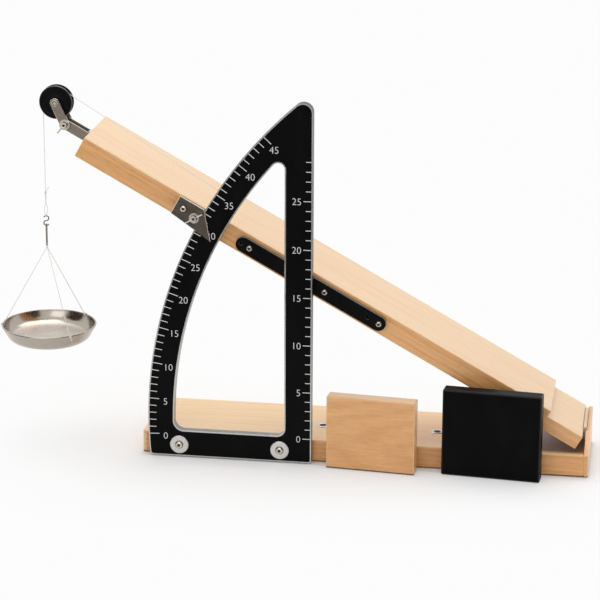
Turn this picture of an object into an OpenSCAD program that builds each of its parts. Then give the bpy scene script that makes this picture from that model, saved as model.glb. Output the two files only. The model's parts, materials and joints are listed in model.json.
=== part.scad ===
// Inclined plane for classroom mechanics. A plank is hinged to the end plate of a base board,
// and a pointer clamped to a quadrant scale holds it at an angle. A thread runs from the plank
// over a swivelling pulley to a weight pan, and two loose friction blocks stand by the base.
// The origin is the centre of the base board's underside, +X to the hinge, +Y back, +Z up.

/* [Base] */
// Length of the base board
base_l = 452; // [440:1:480]
// Width of the base board
base_w = 104; // [100:1:112]
// Thickness of the base board
base_t = 23; // [20:0.5:26]
// Corner radius at the base board's free end
base_corner_r = 4; // [1:0.5:8]
// Thickness of the end plate that carries the hinge
end_plate_t = 4.5; // [4:0.5:8]
// Length of the slope cut from the end plate's front upper corner
end_slope_l = 30; // [20:1:32]
// Distance of the left base screw from the middle of the base
left_screw_x = -45; // [-60:1:-40]
// Distance of the right base screw from the middle of the base
right_screw_x = 74; // [60:1:90]
// Distance of the base screws in front of the middle of the base
base_screw_y = 7; // [0:1:20]

/* [Plane] */
// Tilt of the plank in degrees
tilt = 29; // [20:1:40]
// Distance from the hinge axis to the plank's upper end
plank_reach = 584; // [560:1:610]
// Width of the plank
plank_w = 96; // [90:1:100]
// Thickness of the plank
plank_t = 22; // [20:0.5:25]
// Thickness of the plank's tongue over the hinge block
tongue_t = 7; // [5:0.5:8]
// Length of the hinge block that shows past the plank
block_show = 42; // [30:1:50]
// Length of the lap between the plank and the hinge block
lap_l = 60; // [50:1:80]
// Distance of the plank's front face behind the base's front face
plank_setback = 8; // [7.5:0.5:12]
// Room between the flat plank and the base board
flat_gap = 1.2; // [1:0.1:3]
// Chamfer on the edges of the wooden pieces
edge_chamfer = 0.7; // [0.3:0.1:1.5]

/* [Hinge] */
// Length of the hinge along its pin
hinge_l = 60; // [54:1:62]
// Distance of the hinge's middle behind the middle of the base
hinge_y = 12; // [10:1:14]
// Number of knuckles on the hinge
knuckle_count = 5; // [3:2:7]
// Outer radius of the knuckles
knuckle_r = 2; // [1.8:0.1:2.5]
// Radius of the hinge pin
pin_r = 0.9; // [0.8:0.1:1.1]
// Thickness of a hinge leaf
leaf_t = 1; // [0.8:0.1:1.2]
// Height of a hinge leaf below the pin
leaf_h = 12; // [10:0.5:13]
// Gap between the folded leaves
leaf_gap = 0.4; // [0.3:0.1:0.8]

/* [Scale] */
// Thickness of the scale plate
plate_t = 8; // [6:0.5:10]
// Radius of the plate's outer edge about the hinge axis
plate_r = 443; // [436:0.5:446]
// Width of the arc band
band_w = 27; // [24:1:32]
// Distance of the plate's upright edge from the hinge axis
upright_out = 274.3; // [268:0.1:280]
// Width of the upright arm
arm_w = 28; // [24:1:32]
// Height of the plate's lower edge above the floor
plate_foot = 0.8; // [0.5:0.1:2]
// Height of the plate's lower bar
bar_h = 28; // [25:1:30]
// Radius at the top of the plate
apex_r = 10; // [6:0.5:14]
// Width of the bare metal rim round the plate
rim_w = 1.3; // [1:0.1:2.5]
// Width of the bare metal rim round the window
window_rim_w = 1.4; // [1:0.1:3]
// Thickness of the black face
face_t = 0.3; // [0.2:0.1:0.6]
// Distance of the left plate screw from the hinge axis
plate_screw_far = 410.8; // [405:0.1:414]
// Distance of the right plate screw from the hinge axis
plate_screw_near = 306.8; // [295:0.1:314]
// Height of the plate screws above the floor
plate_screw_z = 13.5; // [12:0.5:15]

/* [Pointer] */
// Distance of the pointer's tip inside the plate's outer edge
tip_in = 20.5; // [15:0.5:24]
// Angle of the scale's zero below the hinge axis
zero_drop = 2; // [1.8:0.1:2.4]
// Length of the pointer along the plank
pointer_l = 49; // [46:1:52]
// Width of the pointer
pointer_w = 21; // [19:0.5:23]
// Thickness of the pointer
pointer_t = 1.5; // [1:0.1:2]
// Distance of the clamp screw outside the plate's outer edge
clamp_out = 5.5; // [5:0.5:9]
// Distance of the pointer's fixing screw outside the plate's outer edge
pointer_screw_out = 19.5; // [18:0.5:22]
// Length of the clamp screws' tommy bars
tommy_l = 20; // [16:1:24]

/* [Side bar] */
// Length of the side bar
side_bar_l = 172; // [160:1:180]
// Width of the side bar
side_bar_w = 15.5; // [11:0.5:17]
// Thickness of the side bar
side_bar_t = 5; // [3:0.5:5.5]
// Distance of the side bar's middle inside the scale plate's outer edge
side_bar_in = 128; // [124:1:133]

/* [Pulley] */
// Distance of the pulley pivot past the plank's upper end
pivot_out = 27; // [25:0.5:32]
// Length of the pulley arms between their centres
arm_l = 24; // [23:0.5:28]
// Angle of the pulley arms above the plank
arm_angle = 37; // [30:1:45]
// Width of the pulley arms
arm_strap_w = 10; // [8:0.5:12]
// Thickness of the bracket and the arms
strap_t = 1.5; // [1:0.1:2]
// Radius of the pulley wheel
wheel_r = 17.3; // [16:0.1:18]
// Thickness of the pulley wheel
wheel_t = 9; // [7:0.5:10]
// Radius at the bottom of the pulley's groove
groove_r = 13.4; // [12:0.1:14]
// Radius of the pulley axle and of the pivot screw
axle_r = 2; // [1.8:0.1:2.3]

/* [Thread and pan] */
// Diameter of the thread
thread_d = 0.8; // [0.6:0.1:1.2]
// Distance of the anchor eye from the hinge axis
eye_s = 430; // [420:1:440]
// Height of the anchor eye's ring above the plank
eye_h = 8.5; // [7:0.5:10]
// Length of thread from the pulley to the knot
drop_l = 96; // [80:1:110]
// Length of the thread loop above the hook
loop_l = 26; // [20:1:32]
// Length of the pan's wire link
link_l = 22.4; // [18:0.1:26]
// Height of the threads above the pan
sling_h = 84; // [70:1:95]
// Radius of the pan at its rim
pan_r = 48.4; // [44:0.2:52]
// Depth of the pan
pan_depth = 17; // [14:0.5:20]
// Thickness of the pan's sheet
pan_wall = 0.8; // [0.6:0.1:1.2]

/* [Friction blocks] */
// Width of the wooden block
wood_block_w = 91; // [80:1:95]
// Height of the wooden block
wood_block_h = 77; // [70:1:85]
// Width of the black block
black_block_w = 100; // [90:1:104]
// Height of the black block
black_block_h = 91; // [80:1:92]
// Thickness of both blocks
block_t = 15; // [12:0.5:18]
// Distance of the wooden block's middle from the middle of the base
wood_block_x = 13.5; // [8:0.5:16]
// Distance of the black block's middle from the base board's hinge end
black_block_in = 91; // [86:0.5:96]
// Turn of both blocks on the bench, away from the base at their right ends
block_turn = 5; // [0:1:8]

/* [Hidden] */

// Smoothness of small and of large curves
fn = 48;
fn_large = 240;
// Running clearance of a pin in its hole, and of a screw in its pilot hole
run_fit = 0.05;
// Clearance between pieces that slide past each other
slide_gap = 0.4;
// Overlap of a cutting solid past the face it cuts
over = 1;

// Hinge axis, in the plane of the folded leaves' middle
axis_x = base_l / 2 - leaf_t - leaf_gap / 2;
block_thick = plank_t - tongue_t;
axis_z = base_t + flat_gap + block_thick;
cove_r = knuckle_r + slide_gap;

// Plank seen from the hinge axis, with s up the plank and h square to it
plank_front = -base_w / 2 + plank_setback;
plank_bottom = tongue_t - plank_t;
plank_mid_h = tongue_t - plank_t / 2;
end_clear = leaf_t + leaf_gap / 2;
hinge_near = hinge_y - hinge_l / 2;
hinge_far = hinge_y + hinge_l / 2;

// Scale plate
base_front = -base_w / 2;
face_front = base_front - plate_t - face_t;
plate_right = axis_x - upright_out;
plate_screw_x = [axis_x - plate_screw_far, axis_x - plate_screw_near];
window_r = plate_r - band_w;
window_right = plate_right - arm_w;
window_foot = plate_foot + bar_h;
toe_r = 4;
heel_r = 3;
window_toe_r = 10;
window_heel_r = 8;
window_tip_r = 6.5;

// Pointer and clamp
pointer_back = face_front - slide_gap;
jaw_gap = 1.6;
jaw_r = plate_r + jaw_gap;
jaw_reach = 12;
side_bar_s = plate_r - side_bar_in;
tip_s = plate_r - tip_in;
clamp_s = plate_r + clamp_out;
pointer_screw_s = plate_r + pointer_screw_out;
tip_h = -tip_s * tan(zero_drop);
pointer_low = tip_h + 5.3;
clamp_h = plank_mid_h + 2.5;
pointer_screw_h = plank_mid_h + 5.5;

// Wood screws, with the length of each that grips the wood
wood_screw_r = 2;
wood_screw_head_r = 4;
end_screw_l = 22;
base_screw_l = 16;
plate_screw_l = 18;
plate_screw_head_r = 4.3;
dome_h = 2.4;
lap_screw_grip = 4;
lap_screw_l = block_thick + lap_screw_grip;
side_bar_screw_grip = 14;
pointer_screw_grip = 17;
plate_washer_r = 9.6;
plate_washer_t = 1.2;
cup_washer_h = 0.8;
cup_washer_r = 6.5;
cup_screw_head_r = 3.6;
cup_screw_head_h = 0.7;
hinge_screw_r = 1.1;
hinge_screw_head_r = hinge_screw_r + leaf_t;
base_leaf_screw_l = leaf_t + end_plate_t - 1;
plane_leaf_screw_l = 9;
knuckle_gap = 0.15;
fork_screw_r = 1.5;
fork_screw_head_r = 2.6;
fork_screw_head_h = 1.6;
fork_screw_l = 16;
fork_screw_off = 3.5;
eye_shank_r = 1;
eye_shank_l = 11;

// Clamp screws, and the turn of their tommy bars in the plank's frame
clamp_head_r = 3.2;
clamp_head_h = 4;
clamp_socket_r = 1.3;
clamp_socket_h = 1.2;
clamp_shank_l = 8;
clamp_washer_r = 5.2;
pivot_washer_r = 5.4;
washer_t = 1;
tommy_r = 0.8;
tommy_h = washer_t + clamp_head_h * 0.4;
clamp_bar_turn = -32;
pivot_bar_turn = 169;
pivot_bar_tail = 4;
nut_r = 4;
nut_h = 3;

// Pulley: the fork's arms lie inside the swivelling arms
fork_in = wheel_t / 2 + 0.5;
fork_out = fork_in + strap_t;
arm_in = fork_out + 0.2;
arm_out = arm_in + strap_t;
web_t = 2;
web_h = 13;
bush_r = 3.4;
pivot_s = plank_reach + pivot_out;
pivot_h = plank_mid_h;
axle_s = pivot_s + arm_l * cos(arm_angle);
axle_h = pivot_h + arm_l * sin(arm_angle);
axle_x = axis_x - axle_s * cos(tilt) + axle_h * sin(tilt);
axle_z = axis_z + axle_s * sin(tilt) + axle_h * cos(tilt);

// Thread: the run from the eye touches the wheel's groove at run_lift above square to the plank
thread_r = thread_d / 2;
wrap_r = groove_r + thread_r + 0.3;
eye_ring_h = tongue_t + eye_h;
eye_ring_r = 2.6;
eye_wire_r = 0.7;
run_dx = axle_s - eye_s;
run_dh = axle_h - eye_ring_h;
run_lift = asin(wrap_r / norm([run_dx, run_dh])) + atan2(run_dh, run_dx);
wrap_start = 90 - tilt - run_lift;
thread_x = axle_x - wrap_r;

// Heights down the hanging thread
hook_r = 2.6;
hook_wire_r = 0.7;
link_wire_r = 0.6;
link_half_w = 1.6;
knot_z = axle_z - drop_l;
loop_low_z = knot_z - loop_l;
hook_top_z = loop_low_z + thread_r + hook_wire_r + 0.1;
hook_upper_z = hook_top_z - hook_r;
hook_lower_z = hook_upper_z - 2 * hook_r;
hook_bottom_z = hook_lower_z - hook_r;
link_top_z = hook_bottom_z + hook_wire_r + link_wire_r + 0.45;
link_low_z = link_top_z - link_l;
sling_z = link_low_z - link_wire_r - 1.6;
rim_z = sling_z - sling_h;
sling_angles = [190, 52, -50];
knot_r = 1.3;
loop_half_w = 1.7;

// Pan section: a floor, a bend and a flared wall
pan_bend = 10;
pan_flare = 62;
wall_rise = pan_depth - pan_bend * (1 - cos(pan_flare));
pan_floor_r = pan_r - pan_bend * sin(pan_flare) - wall_rise / tan(pan_flare);
bead_r = 0.9;

// Side bar screws and spare holes, from the bar's middle towards the upper end
side_bar_end = side_bar_l / 2;
low_screw_in = 7;
low_hole_in = 20;
mid_screw_at = -16;
high_screw_in = 15;
high_hole_in = 5;
side_bar_screw_at = [low_screw_in - side_bar_end, mid_screw_at, side_bar_end - high_screw_in];
side_bar_hole_at = [low_hole_in - side_bar_end, side_bar_end - high_hole_in];
side_bar_screw_head_r = 3.6;

end_screw_in = 16;
end_screw_y = [for (side = [-1, 0, 1]) side * (base_w / 2 - end_screw_in)];
hinge_screw_in = 9.5;
hinge_screw_y = [for (side = [-1, 0, 1]) hinge_y + side * (hinge_l / 2 - hinge_screw_in)];
lap_screw_in = 20;
lap_row = 25;
lap_screw_at = [for (s = [0, lap_row], y = [lap_screw_in, plank_w - lap_screw_in]) [lap_screw_in + s, y]];
block_gap = 0.4;
black_block_x = base_l / 2 - black_block_in;

beech = "#E3BE8C";
black = "#1A1A1B";
steel = "#B9B9B6";
dark_steel = "#6E6A64";
white_thread = "#E8E4DA";

// Place children in the plank's frame: -X up the plank from the hinge axis, +Z square to it
module in_plane() {
    translate([axis_x, 0, axis_z])
        rotate([0, tilt, 0])
            children();
}

// Turn a solid's +Z towards the front
module facing_front() {
    rotate([90, 0, 0])
        children();
}

// Rectangle with chamfered corners
module chamfer_rect(size, c) {
    polygon([[c, 0], [size.x - c, 0], [size.x, c], [size.x, size.y - c],
        [size.x - c, size.y], [c, size.y], [0, size.y - c], [0, c]]);
}

// Box with every edge chamfered
module chamfer_box(size, c) {
    intersection() {
        linear_extrude(size.z)
            chamfer_rect([size.x, size.y], c);
        translate([0, size.y, 0])
            rotate([90, 0, 0])
                linear_extrude(size.y)
                    chamfer_rect([size.x, size.z], c);
        rotate([90, 0, 90])
            linear_extrude(size.x)
                chamfer_rect([size.y, size.z], c);
    }
}

// Flat strap with round ends between two points in its own plane, extruded along +Z
module strap(a, b, width, thickness) {
    d = b - a;
    translate([a.x, a.y, 0])
        rotate(atan2(d.y, d.x))
            linear_extrude(thickness) {
                translate([0, -width / 2])
                    square([norm(d), width]);
                for (x = [0, norm(d)])
                    translate([x, 0])
                        circle(d = width, $fn = fn);
            }
}

// Round rod between two points
module rod(a, b, r) {
    d = b - a;
    translate(a)
        rotate([0, acos(d.z / norm(d)), atan2(d.y, d.x)])
            cylinder(h = norm(d), r = r, $fn = 24);
}

module ring(r_in, r_out, h) {
    difference() {
        cylinder(h = h, r = r_out, $fn = fn);
        translate([0, 0, -over])
            cylinder(h = h + 2 * over, r = r_in, $fn = fn);
    }
}

// Part of a wire ring in the XZ plane, from the angle a0 and on through sweep
module wire_arc(r, wire, a0, sweep) {
    rotate([90, 0, 0])
        rotate(a0)
            rotate_extrude(angle = sweep, $fn = 64)
                translate([r, 0])
                    circle(r = wire, $fn = 24);
}

// Long wire link in the YZ plane, with its bends' wire centred at z_low and z_high
module wire_link(z_low, z_high, half_w, wire) {
    rotate([0, 0, 90]) {
        translate([0, 0, z_high - half_w])
            wire_arc(half_w, wire, 0, 180);
        translate([0, 0, z_low + half_w])
            wire_arc(half_w, wire, 180, 180);
        for (side = [-1, 1])
            translate([side * half_w, 0, z_low + half_w])
                cylinder(h = z_high - z_low - 2 * half_w, r = wire, $fn = 24);
    }
}

// Domed screw head with a hexagon socket, on a shank that points down
module dome_screw(head_r, head_h, shank_r, shank_l) {
    ball_r = (head_r * head_r + head_h * head_h) / (2 * head_h);
    difference() {
        union() {
            intersection() {
                translate([0, 0, head_h - ball_r])
                    sphere(r = ball_r, $fn = 96);
                cylinder(h = head_h, r = head_r, $fn = fn);
            }
            translate([0, 0, -shank_l])
                cylinder(h = shank_l, r = shank_r, $fn = fn);
        }
        translate([0, 0, head_h * 0.4])
            cylinder(h = head_h, r = head_r * 0.42, $fn = 6);
    }
}

// Countersunk screw with its flat head at the origin and its shank pointing down
module flat_screw(head_r, shank_r, shank_l) {
    sink = head_r - shank_r;
    translate([0, 0, -sink])
        cylinder(h = sink, r1 = shank_r, r2 = head_r, $fn = fn);
    translate([0, 0, -shank_l])
        cylinder(h = shank_l - sink, r = shank_r, $fn = fn);
}

// Hole for a countersunk screw
module flat_screw_hole(head_r, shank_r, shank_l) {
    flat_screw(head_r + run_fit, shank_r + run_fit, shank_l + run_fit);
    cylinder(h = over, r = head_r + run_fit, $fn = fn);
}

// Hole along -Z for a straight shank
module shank_hole(shank_r, shank_l) {
    translate([0, 0, -shank_l - run_fit])
        cylinder(h = shank_l + run_fit + over, r = shank_r + run_fit, $fn = fn);
}

// Place children at each end plate screw, with +Z out of the end plate
module at_end_screws() {
    for (y = end_screw_y)
        translate([base_l / 2 + end_plate_t, y, base_t / 2])
            rotate([0, 90, 0])
                children();
}

// Place children at each base screw
module at_base_screws() {
    for (x = [left_screw_x, right_screw_x])
        translate([x, -base_screw_y, base_t])
            children();
}

// Place children at each plate screw on the base's front face, with +Z to the front
module at_plate_screws() {
    for (x = plate_screw_x)
        translate([x, base_front, plate_screw_z])
            facing_front()
                children();
}

// Place children at each screw of the hinge's base leaf, with +Z towards the plank
module at_hinge_base_screws() {
    for (y = hinge_screw_y)
        translate([axis_x + leaf_gap / 2, y, axis_z - leaf_h * 0.6])
            rotate([0, -90, 0])
                children();
}

// Place children at each screw of the hinge's plane leaf, with +Z towards the end plate
module at_hinge_plane_screws() {
    for (y = hinge_screw_y)
        translate([-leaf_gap / 2, y, -leaf_h * 0.6])
            rotate([0, 90, 0])
                children();
}

// Place children at each lap screw under the hinge block, with +Z down
module at_lap_screws() {
    for (p = lap_screw_at)
        translate([-block_show - p[0], plank_front + p[1], plank_bottom])
            rotate([180, 0, 0])
                children();
}

// Place children at a point of the plank's front face, with +Z to the front
module on_plank_front(s, h) {
    translate([-s, plank_front, h])
        facing_front()
            children();
}

// Place children at each side bar screw on the bar's front
module at_side_bar_screws() {
    for (at = side_bar_screw_at)
        on_plank_front(side_bar_s + at, plank_mid_h)
            translate([0, 0, side_bar_t])
                children();
}

// Place children at each fork screw on the web's outer face, with +Z up the plank
module at_fork_screws() {
    for (side = [-1, 1])
        translate([-plank_reach - web_t, 0, plank_mid_h + side * fork_screw_off])
            rotate([0, -90, 0])
                children();
}

// Hinge axis as a cylinder along Y, in the plank's frame
module along_axis(r, y0, y1) {
    translate([0, y1, 0])
        rotate([90, 0, 0])
            cylinder(h = y1 - y0, r = r, $fn = fn);
}

// Knuckles of one leaf: first is 0 or 1
module knuckles(first, r, gap) {
    step = hinge_l / knuckle_count;
    for (i = [first : 2 : knuckle_count - 1])
        along_axis(r, hinge_near + i * step + gap, hinge_near + (i + 1) * step - gap);
}

// Hinge leaf that hangs from the axis on the +X side: a plate, and a tab up to each of its knuckles
module hinge_leaf(first) {
    step = hinge_l / knuckle_count;
    difference() {
        union() {
            translate([leaf_gap / 2, hinge_near, -leaf_h])
                cube([leaf_t, hinge_l, leaf_h - cove_r]);
            for (i = [first : 2 : knuckle_count - 1])
                translate([leaf_gap / 2, hinge_near + i * step + knuckle_gap, -leaf_h])
                    cube([leaf_t, step - 2 * knuckle_gap, leaf_h]);
            knuckles(first, knuckle_r, knuckle_gap);
        }
        along_axis(pin_r + run_fit, hinge_near - over, hinge_far + over);
    }
}

// Room for the knuckles along the hinge
module knuckle_cove() {
    along_axis(cove_r, hinge_near - over, hinge_far + over);
}

module base_board() {
    color(beech)
        difference() {
            translate([-base_l / 2, -base_w / 2, 0])
                intersection() {
                    chamfer_box([base_l, base_w, base_t], edge_chamfer);
                    union() {
                        translate([base_corner_r, 0, 0])
                            cube([base_l - base_corner_r, base_w, base_t]);
                        translate([0, base_corner_r, 0])
                            cube([base_corner_r, base_w - 2 * base_corner_r, base_t]);
                        for (y = [base_corner_r, base_w - base_corner_r])
                            translate([base_corner_r, y, 0])
                                cylinder(h = base_t, r = base_corner_r, $fn = fn);
                    }
                }
            at_end_screws()
                flat_screw_hole(wood_screw_head_r, wood_screw_r, end_plate_t + end_screw_l);
            at_base_screws()
                shank_hole(wood_screw_r, base_screw_l);
            at_plate_screws()
                shank_hole(wood_screw_r, plate_screw_l);
        }
}

// What is cut off to slope the end plate's front upper corner, extruded along +X
module end_slope(thickness) {
    high = axis_z - base_t;
    rotate([90, 0, 90])
        linear_extrude(thickness)
            polygon([[-over, 0], [0, 0], [end_slope_l, high], [end_slope_l, high + over], [-over, high + over]]);
}

module end_plate() {
    color(beech)
        difference() {
            translate([base_l / 2, -base_w / 2, 0])
                chamfer_box([end_plate_t, base_w, axis_z], edge_chamfer);
            translate([base_l / 2 - over, base_front, base_t])
                end_slope(end_plate_t + 2 * over);
            translate([axis_x, 0, axis_z])
                knuckle_cove();
            at_end_screws()
                flat_screw_hole(wood_screw_head_r, wood_screw_r, end_plate_t + end_screw_l);
            at_hinge_base_screws()
                flat_screw_hole(hinge_screw_head_r, hinge_screw_r, base_leaf_screw_l);
        }
}

module end_plate_screws() {
    color(steel)
        at_end_screws()
            flat_screw(wood_screw_head_r, wood_screw_r, end_plate_t + end_screw_l);
}

module base_screws() {
    color(steel)
        at_base_screws()
            dome_screw(cup_screw_head_r, cup_screw_head_h, wood_screw_r, base_screw_l);
}

module cup_washers() {
    bore = cup_screw_head_r + run_fit;
    color(steel)
        at_base_screws()
            rotate_extrude($fn = fn)
                polygon([[bore, 0], [cup_washer_r, 0], [cup_washer_r - 0.6, cup_washer_h * 0.7],
                    [cup_washer_r - 1.6, cup_washer_h], [bore, cup_washer_h * 0.6]]);
}

// Centre of a round that touches the inside of a circle about the axis and a level line below
function toe_centre(circle_r, level, r) =
    [axis_x - sqrt(pow(circle_r - r, 2) - pow(level + r - axis_z, 2)), level + r];

// Centre of a round that touches the inside of a circle about the axis and an upright line
function tip_centre(circle_r, wall, r) =
    [wall - r, axis_z + sqrt(pow(circle_r - r, 2) - pow(wall - r - axis_x, 2))];

// Direction from the hinge axis to a point of the scale's plane
function from_axis(p) =
    (p - [axis_x, axis_z]) / norm(p - [axis_x, axis_z]);

// The tip of a corner outside its round, between the directions t1 and t2 to its tangents
module corner_tip(centre, r, t1, t2) {
    k = 6 * r;
    difference() {
        polygon([centre, centre + k * t1, centre + 2 * k * (t1 + t2), centre + k * t2]);
        translate(centre)
            circle(r = r, $fn = fn);
    }
}

// Quadrant between a circle about the axis, an upright line and a level line, with round corners
module quadrant(circle_r, wall, level, tip, toe, heel) {
    tip_c = tip_centre(circle_r, wall, tip);
    toe_c = toe_centre(circle_r, level, toe);
    heel_c = [wall - heel, level + heel];
    difference() {
        intersection() {
            translate([axis_x, axis_z])
                circle(r = circle_r, $fn = fn_large);
            translate([wall - circle_r, level])
                square(circle_r);
        }
        corner_tip(tip_c, tip, from_axis(tip_c), [1, 0]);
        corner_tip(toe_c, toe, from_axis(toe_c), [0, -1]);
        corner_tip(heel_c, heel, [1, 0], [0, -1]);
    }
}

// Outline of the scale plate, drawn in from its outer edge and from its window
module scale_outline(rim, window_rim) {
    difference() {
        quadrant(plate_r - rim, plate_right - rim, plate_foot + rim,
            apex_r - rim, toe_r - rim, heel_r - rim);
        quadrant(window_r + window_rim, window_right + window_rim, window_foot - window_rim,
            window_tip_r + window_rim, window_toe_r + window_rim, window_heel_r + window_rim);
        for (x = plate_screw_x)
            translate([x, plate_screw_z])
                circle(r = wood_screw_r + run_fit, $fn = fn);
    }
}

module scale_plate() {
    color(steel)
        translate([0, base_front, 0])
            facing_front()
                linear_extrude(plate_t)
                    scale_outline(0, 0);
}

module scale_face() {
    color(black)
        translate([0, base_front - plate_t, 0])
            facing_front()
                linear_extrude(face_t)
                    scale_outline(rim_w, window_rim_w);
}

module scale_washers() {
    bore = wood_screw_r + run_fit;
    color(steel)
        at_plate_screws()
            translate([0, 0, plate_t + face_t])
                rotate_extrude($fn = fn)
                    polygon([[bore, 0], [plate_washer_r, 0], [plate_washer_r, plate_washer_t * 0.6],
                        [plate_washer_r - 0.6, plate_washer_t], [bore, plate_washer_t]]);
}

module scale_screws() {
    seat = plate_t + face_t + plate_washer_t;
    color(steel)
        at_plate_screws()
            translate([0, 0, seat])
                dome_screw(plate_screw_head_r, dome_h, wood_screw_r, seat + plate_screw_l);
}

module hinge_base_leaf() {
    color(steel)
        difference() {
            translate([axis_x, 0, axis_z])
                hinge_leaf(0);
            at_hinge_base_screws()
                flat_screw_hole(hinge_screw_head_r, hinge_screw_r, base_leaf_screw_l);
        }
}

module hinge_base_screws() {
    color(steel)
        at_hinge_base_screws()
            flat_screw(hinge_screw_head_r, hinge_screw_r, base_leaf_screw_l);
}

module hinge_pin() {
    color(steel)
        translate([axis_x, 0, axis_z])
            along_axis(pin_r, hinge_near, hinge_far);
}

module plank() {
    color(beech)
        in_plane()
            difference() {
                translate([-plank_reach, plank_front, plank_bottom])
                    chamfer_box([plank_reach - block_show, plank_w, plank_t], edge_chamfer);
                translate([-block_show - lap_l, plank_front - over, plank_bottom - over])
                    cube([lap_l + over, plank_w + 2 * over, block_thick + over]);
                at_lap_screws()
                    shank_hole(wood_screw_r, lap_screw_l);
                at_side_bar_screws()
                    shank_hole(wood_screw_r, side_bar_t + side_bar_screw_grip);
                on_plank_front(pointer_screw_s, pointer_screw_h)
                    shank_hole(wood_screw_r, pointer_screw_grip);
                at_fork_screws()
                    shank_hole(fork_screw_r, fork_screw_l);
                translate([-eye_s, 0, tongue_t])
                    shank_hole(eye_shank_r, eye_shank_l);
            }
}

module hinge_block() {
    color(beech)
        in_plane()
            difference() {
                translate([-block_show - lap_l, plank_front, plank_bottom])
                    chamfer_box([block_show + lap_l - end_clear, plank_w, block_thick], edge_chamfer);
                knuckle_cove();
                at_lap_screws()
                    flat_screw_hole(wood_screw_head_r, wood_screw_r, lap_screw_l);
                at_hinge_plane_screws()
                    flat_screw_hole(hinge_screw_head_r, hinge_screw_r, plane_leaf_screw_l);
            }
}

module lap_screws() {
    color(steel)
        in_plane()
            at_lap_screws()
                flat_screw(wood_screw_head_r, wood_screw_r, lap_screw_l);
}

module hinge_plane_leaf() {
    color(steel)
        in_plane()
            difference() {
                mirror([1, 0, 0])
                    hinge_leaf(1);
                at_hinge_plane_screws()
                    flat_screw_hole(hinge_screw_head_r, hinge_screw_r, plane_leaf_screw_l);
            }
}

module hinge_plane_screws() {
    color(steel)
        in_plane()
            at_hinge_plane_screws()
                flat_screw(hinge_screw_head_r, hinge_screw_r, plane_leaf_screw_l);
}

module side_bar() {
    half = (side_bar_l - side_bar_w) / 2;
    color(black)
        in_plane()
            difference() {
                on_plank_front(side_bar_s, plank_mid_h)
                    strap([-half, 0], [half, 0], side_bar_w, side_bar_t);
                at_side_bar_screws()
                    shank_hole(wood_screw_r, side_bar_t + over);
                for (at = side_bar_hole_at)
                    on_plank_front(side_bar_s + at, plank_mid_h)
                        translate([0, 0, side_bar_t])
                            shank_hole(wood_screw_r, side_bar_t + over);
            }
}

module side_bar_screws() {
    color(steel)
        in_plane()
            at_side_bar_screws()
                dome_screw(side_bar_screw_head_r, dome_h, wood_screw_r, side_bar_t + side_bar_screw_grip);
}

// Block on the plank's front, stepped back behind the scale plate's rim to clamp it
module clamp_block() {
    deep = plank_front - pointer_back;
    shallow = plank_front - base_front - slide_gap;
    low = pointer_low + 1;
    color(dark_steel)
        in_plane()
            difference() {
                translate([-tip_s - pointer_l, plank_front - deep, low])
                    cube([tip_s + pointer_l - jaw_r + jaw_reach, deep, tongue_t - 1 - low]);
                translate([0, plank_front - shallow, 0])
                    rotate([90, 0, 0])
                        cylinder(h = deep, r = jaw_r, $fn = fn_large);
                on_plank_front(clamp_s, clamp_h)
                    translate([0, 0, deep])
                        shank_hole(axle_r, clamp_shank_l);
                on_plank_front(pointer_screw_s, pointer_screw_h)
                    translate([0, 0, deep])
                        shank_hole(wood_screw_r, deep + over);
            }
}

// Flat pointer whose lower corner is the reading tip
module pointer() {
    high = pointer_low + pointer_w;
    left = tip_s + pointer_l;
    color(dark_steel)
        in_plane()
            translate([0, pointer_back, 0])
                facing_front()
                    linear_extrude(pointer_t)
                        difference() {
                            polygon([[-left, pointer_low], [-tip_s, tip_h],
                                [-left + pointer_w * 1.3, high], [-left, high]]);
                            translate([-clamp_s, clamp_h])
                                circle(r = axle_r + run_fit, $fn = fn);
                            translate([-pointer_screw_s, pointer_screw_h])
                                circle(r = wood_screw_r + run_fit, $fn = fn);
                        }
}

module pointer_screw() {
    seat = plank_front - pointer_back + pointer_t;
    color(steel)
        in_plane()
            on_plank_front(pointer_screw_s, pointer_screw_h)
                translate([0, 0, seat])
                    dome_screw(wood_screw_head_r, dome_h, wood_screw_r, seat + pointer_screw_grip);
}

// Place children on the pointer's front at the clamp screw, with +Z to the front
module at_clamp() {
    in_plane()
        translate([-clamp_s, pointer_back - pointer_t, clamp_h])
            facing_front()
                children();
}

// Screw with a drilled round head for a tommy bar, standing on its washer
module tommy_screw(shank_l) {
    difference() {
        union() {
            translate([0, 0, washer_t])
                cylinder(h = clamp_head_h, r = clamp_head_r, $fn = fn);
            translate([0, 0, -shank_l])
                cylinder(h = shank_l + washer_t, r = axle_r, $fn = fn);
        }
        translate([0, 0, washer_t + clamp_head_h - clamp_socket_h])
            cylinder(h = clamp_head_h, r = clamp_socket_r, $fn = 6);
        translate([0, clamp_head_r + over, tommy_h])
            rotate([90, 0, 0])
                cylinder(h = 2 * (clamp_head_r + over), r = tommy_r + run_fit, $fn = fn);
    }
}

// Bar through a tommy screw's head, from below to above its middle
module tommy_bar(below, above) {
    translate([0, above, tommy_h])
        rotate([90, 0, 0])
            cylinder(h = above + below, r = tommy_r, $fn = fn);
}

module clamp_screw() {
    color(steel)
        at_clamp()
            rotate(clamp_bar_turn)
                tommy_screw(pointer_t + clamp_shank_l);
}

module clamp_washer() {
    color(steel)
        at_clamp()
            ring(axle_r + run_fit, clamp_washer_r, washer_t);
}

module clamp_tommy_bar() {
    color(steel)
        at_clamp()
            rotate(clamp_bar_turn)
                tommy_bar(tommy_l / 2, tommy_l / 2);
}

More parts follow.
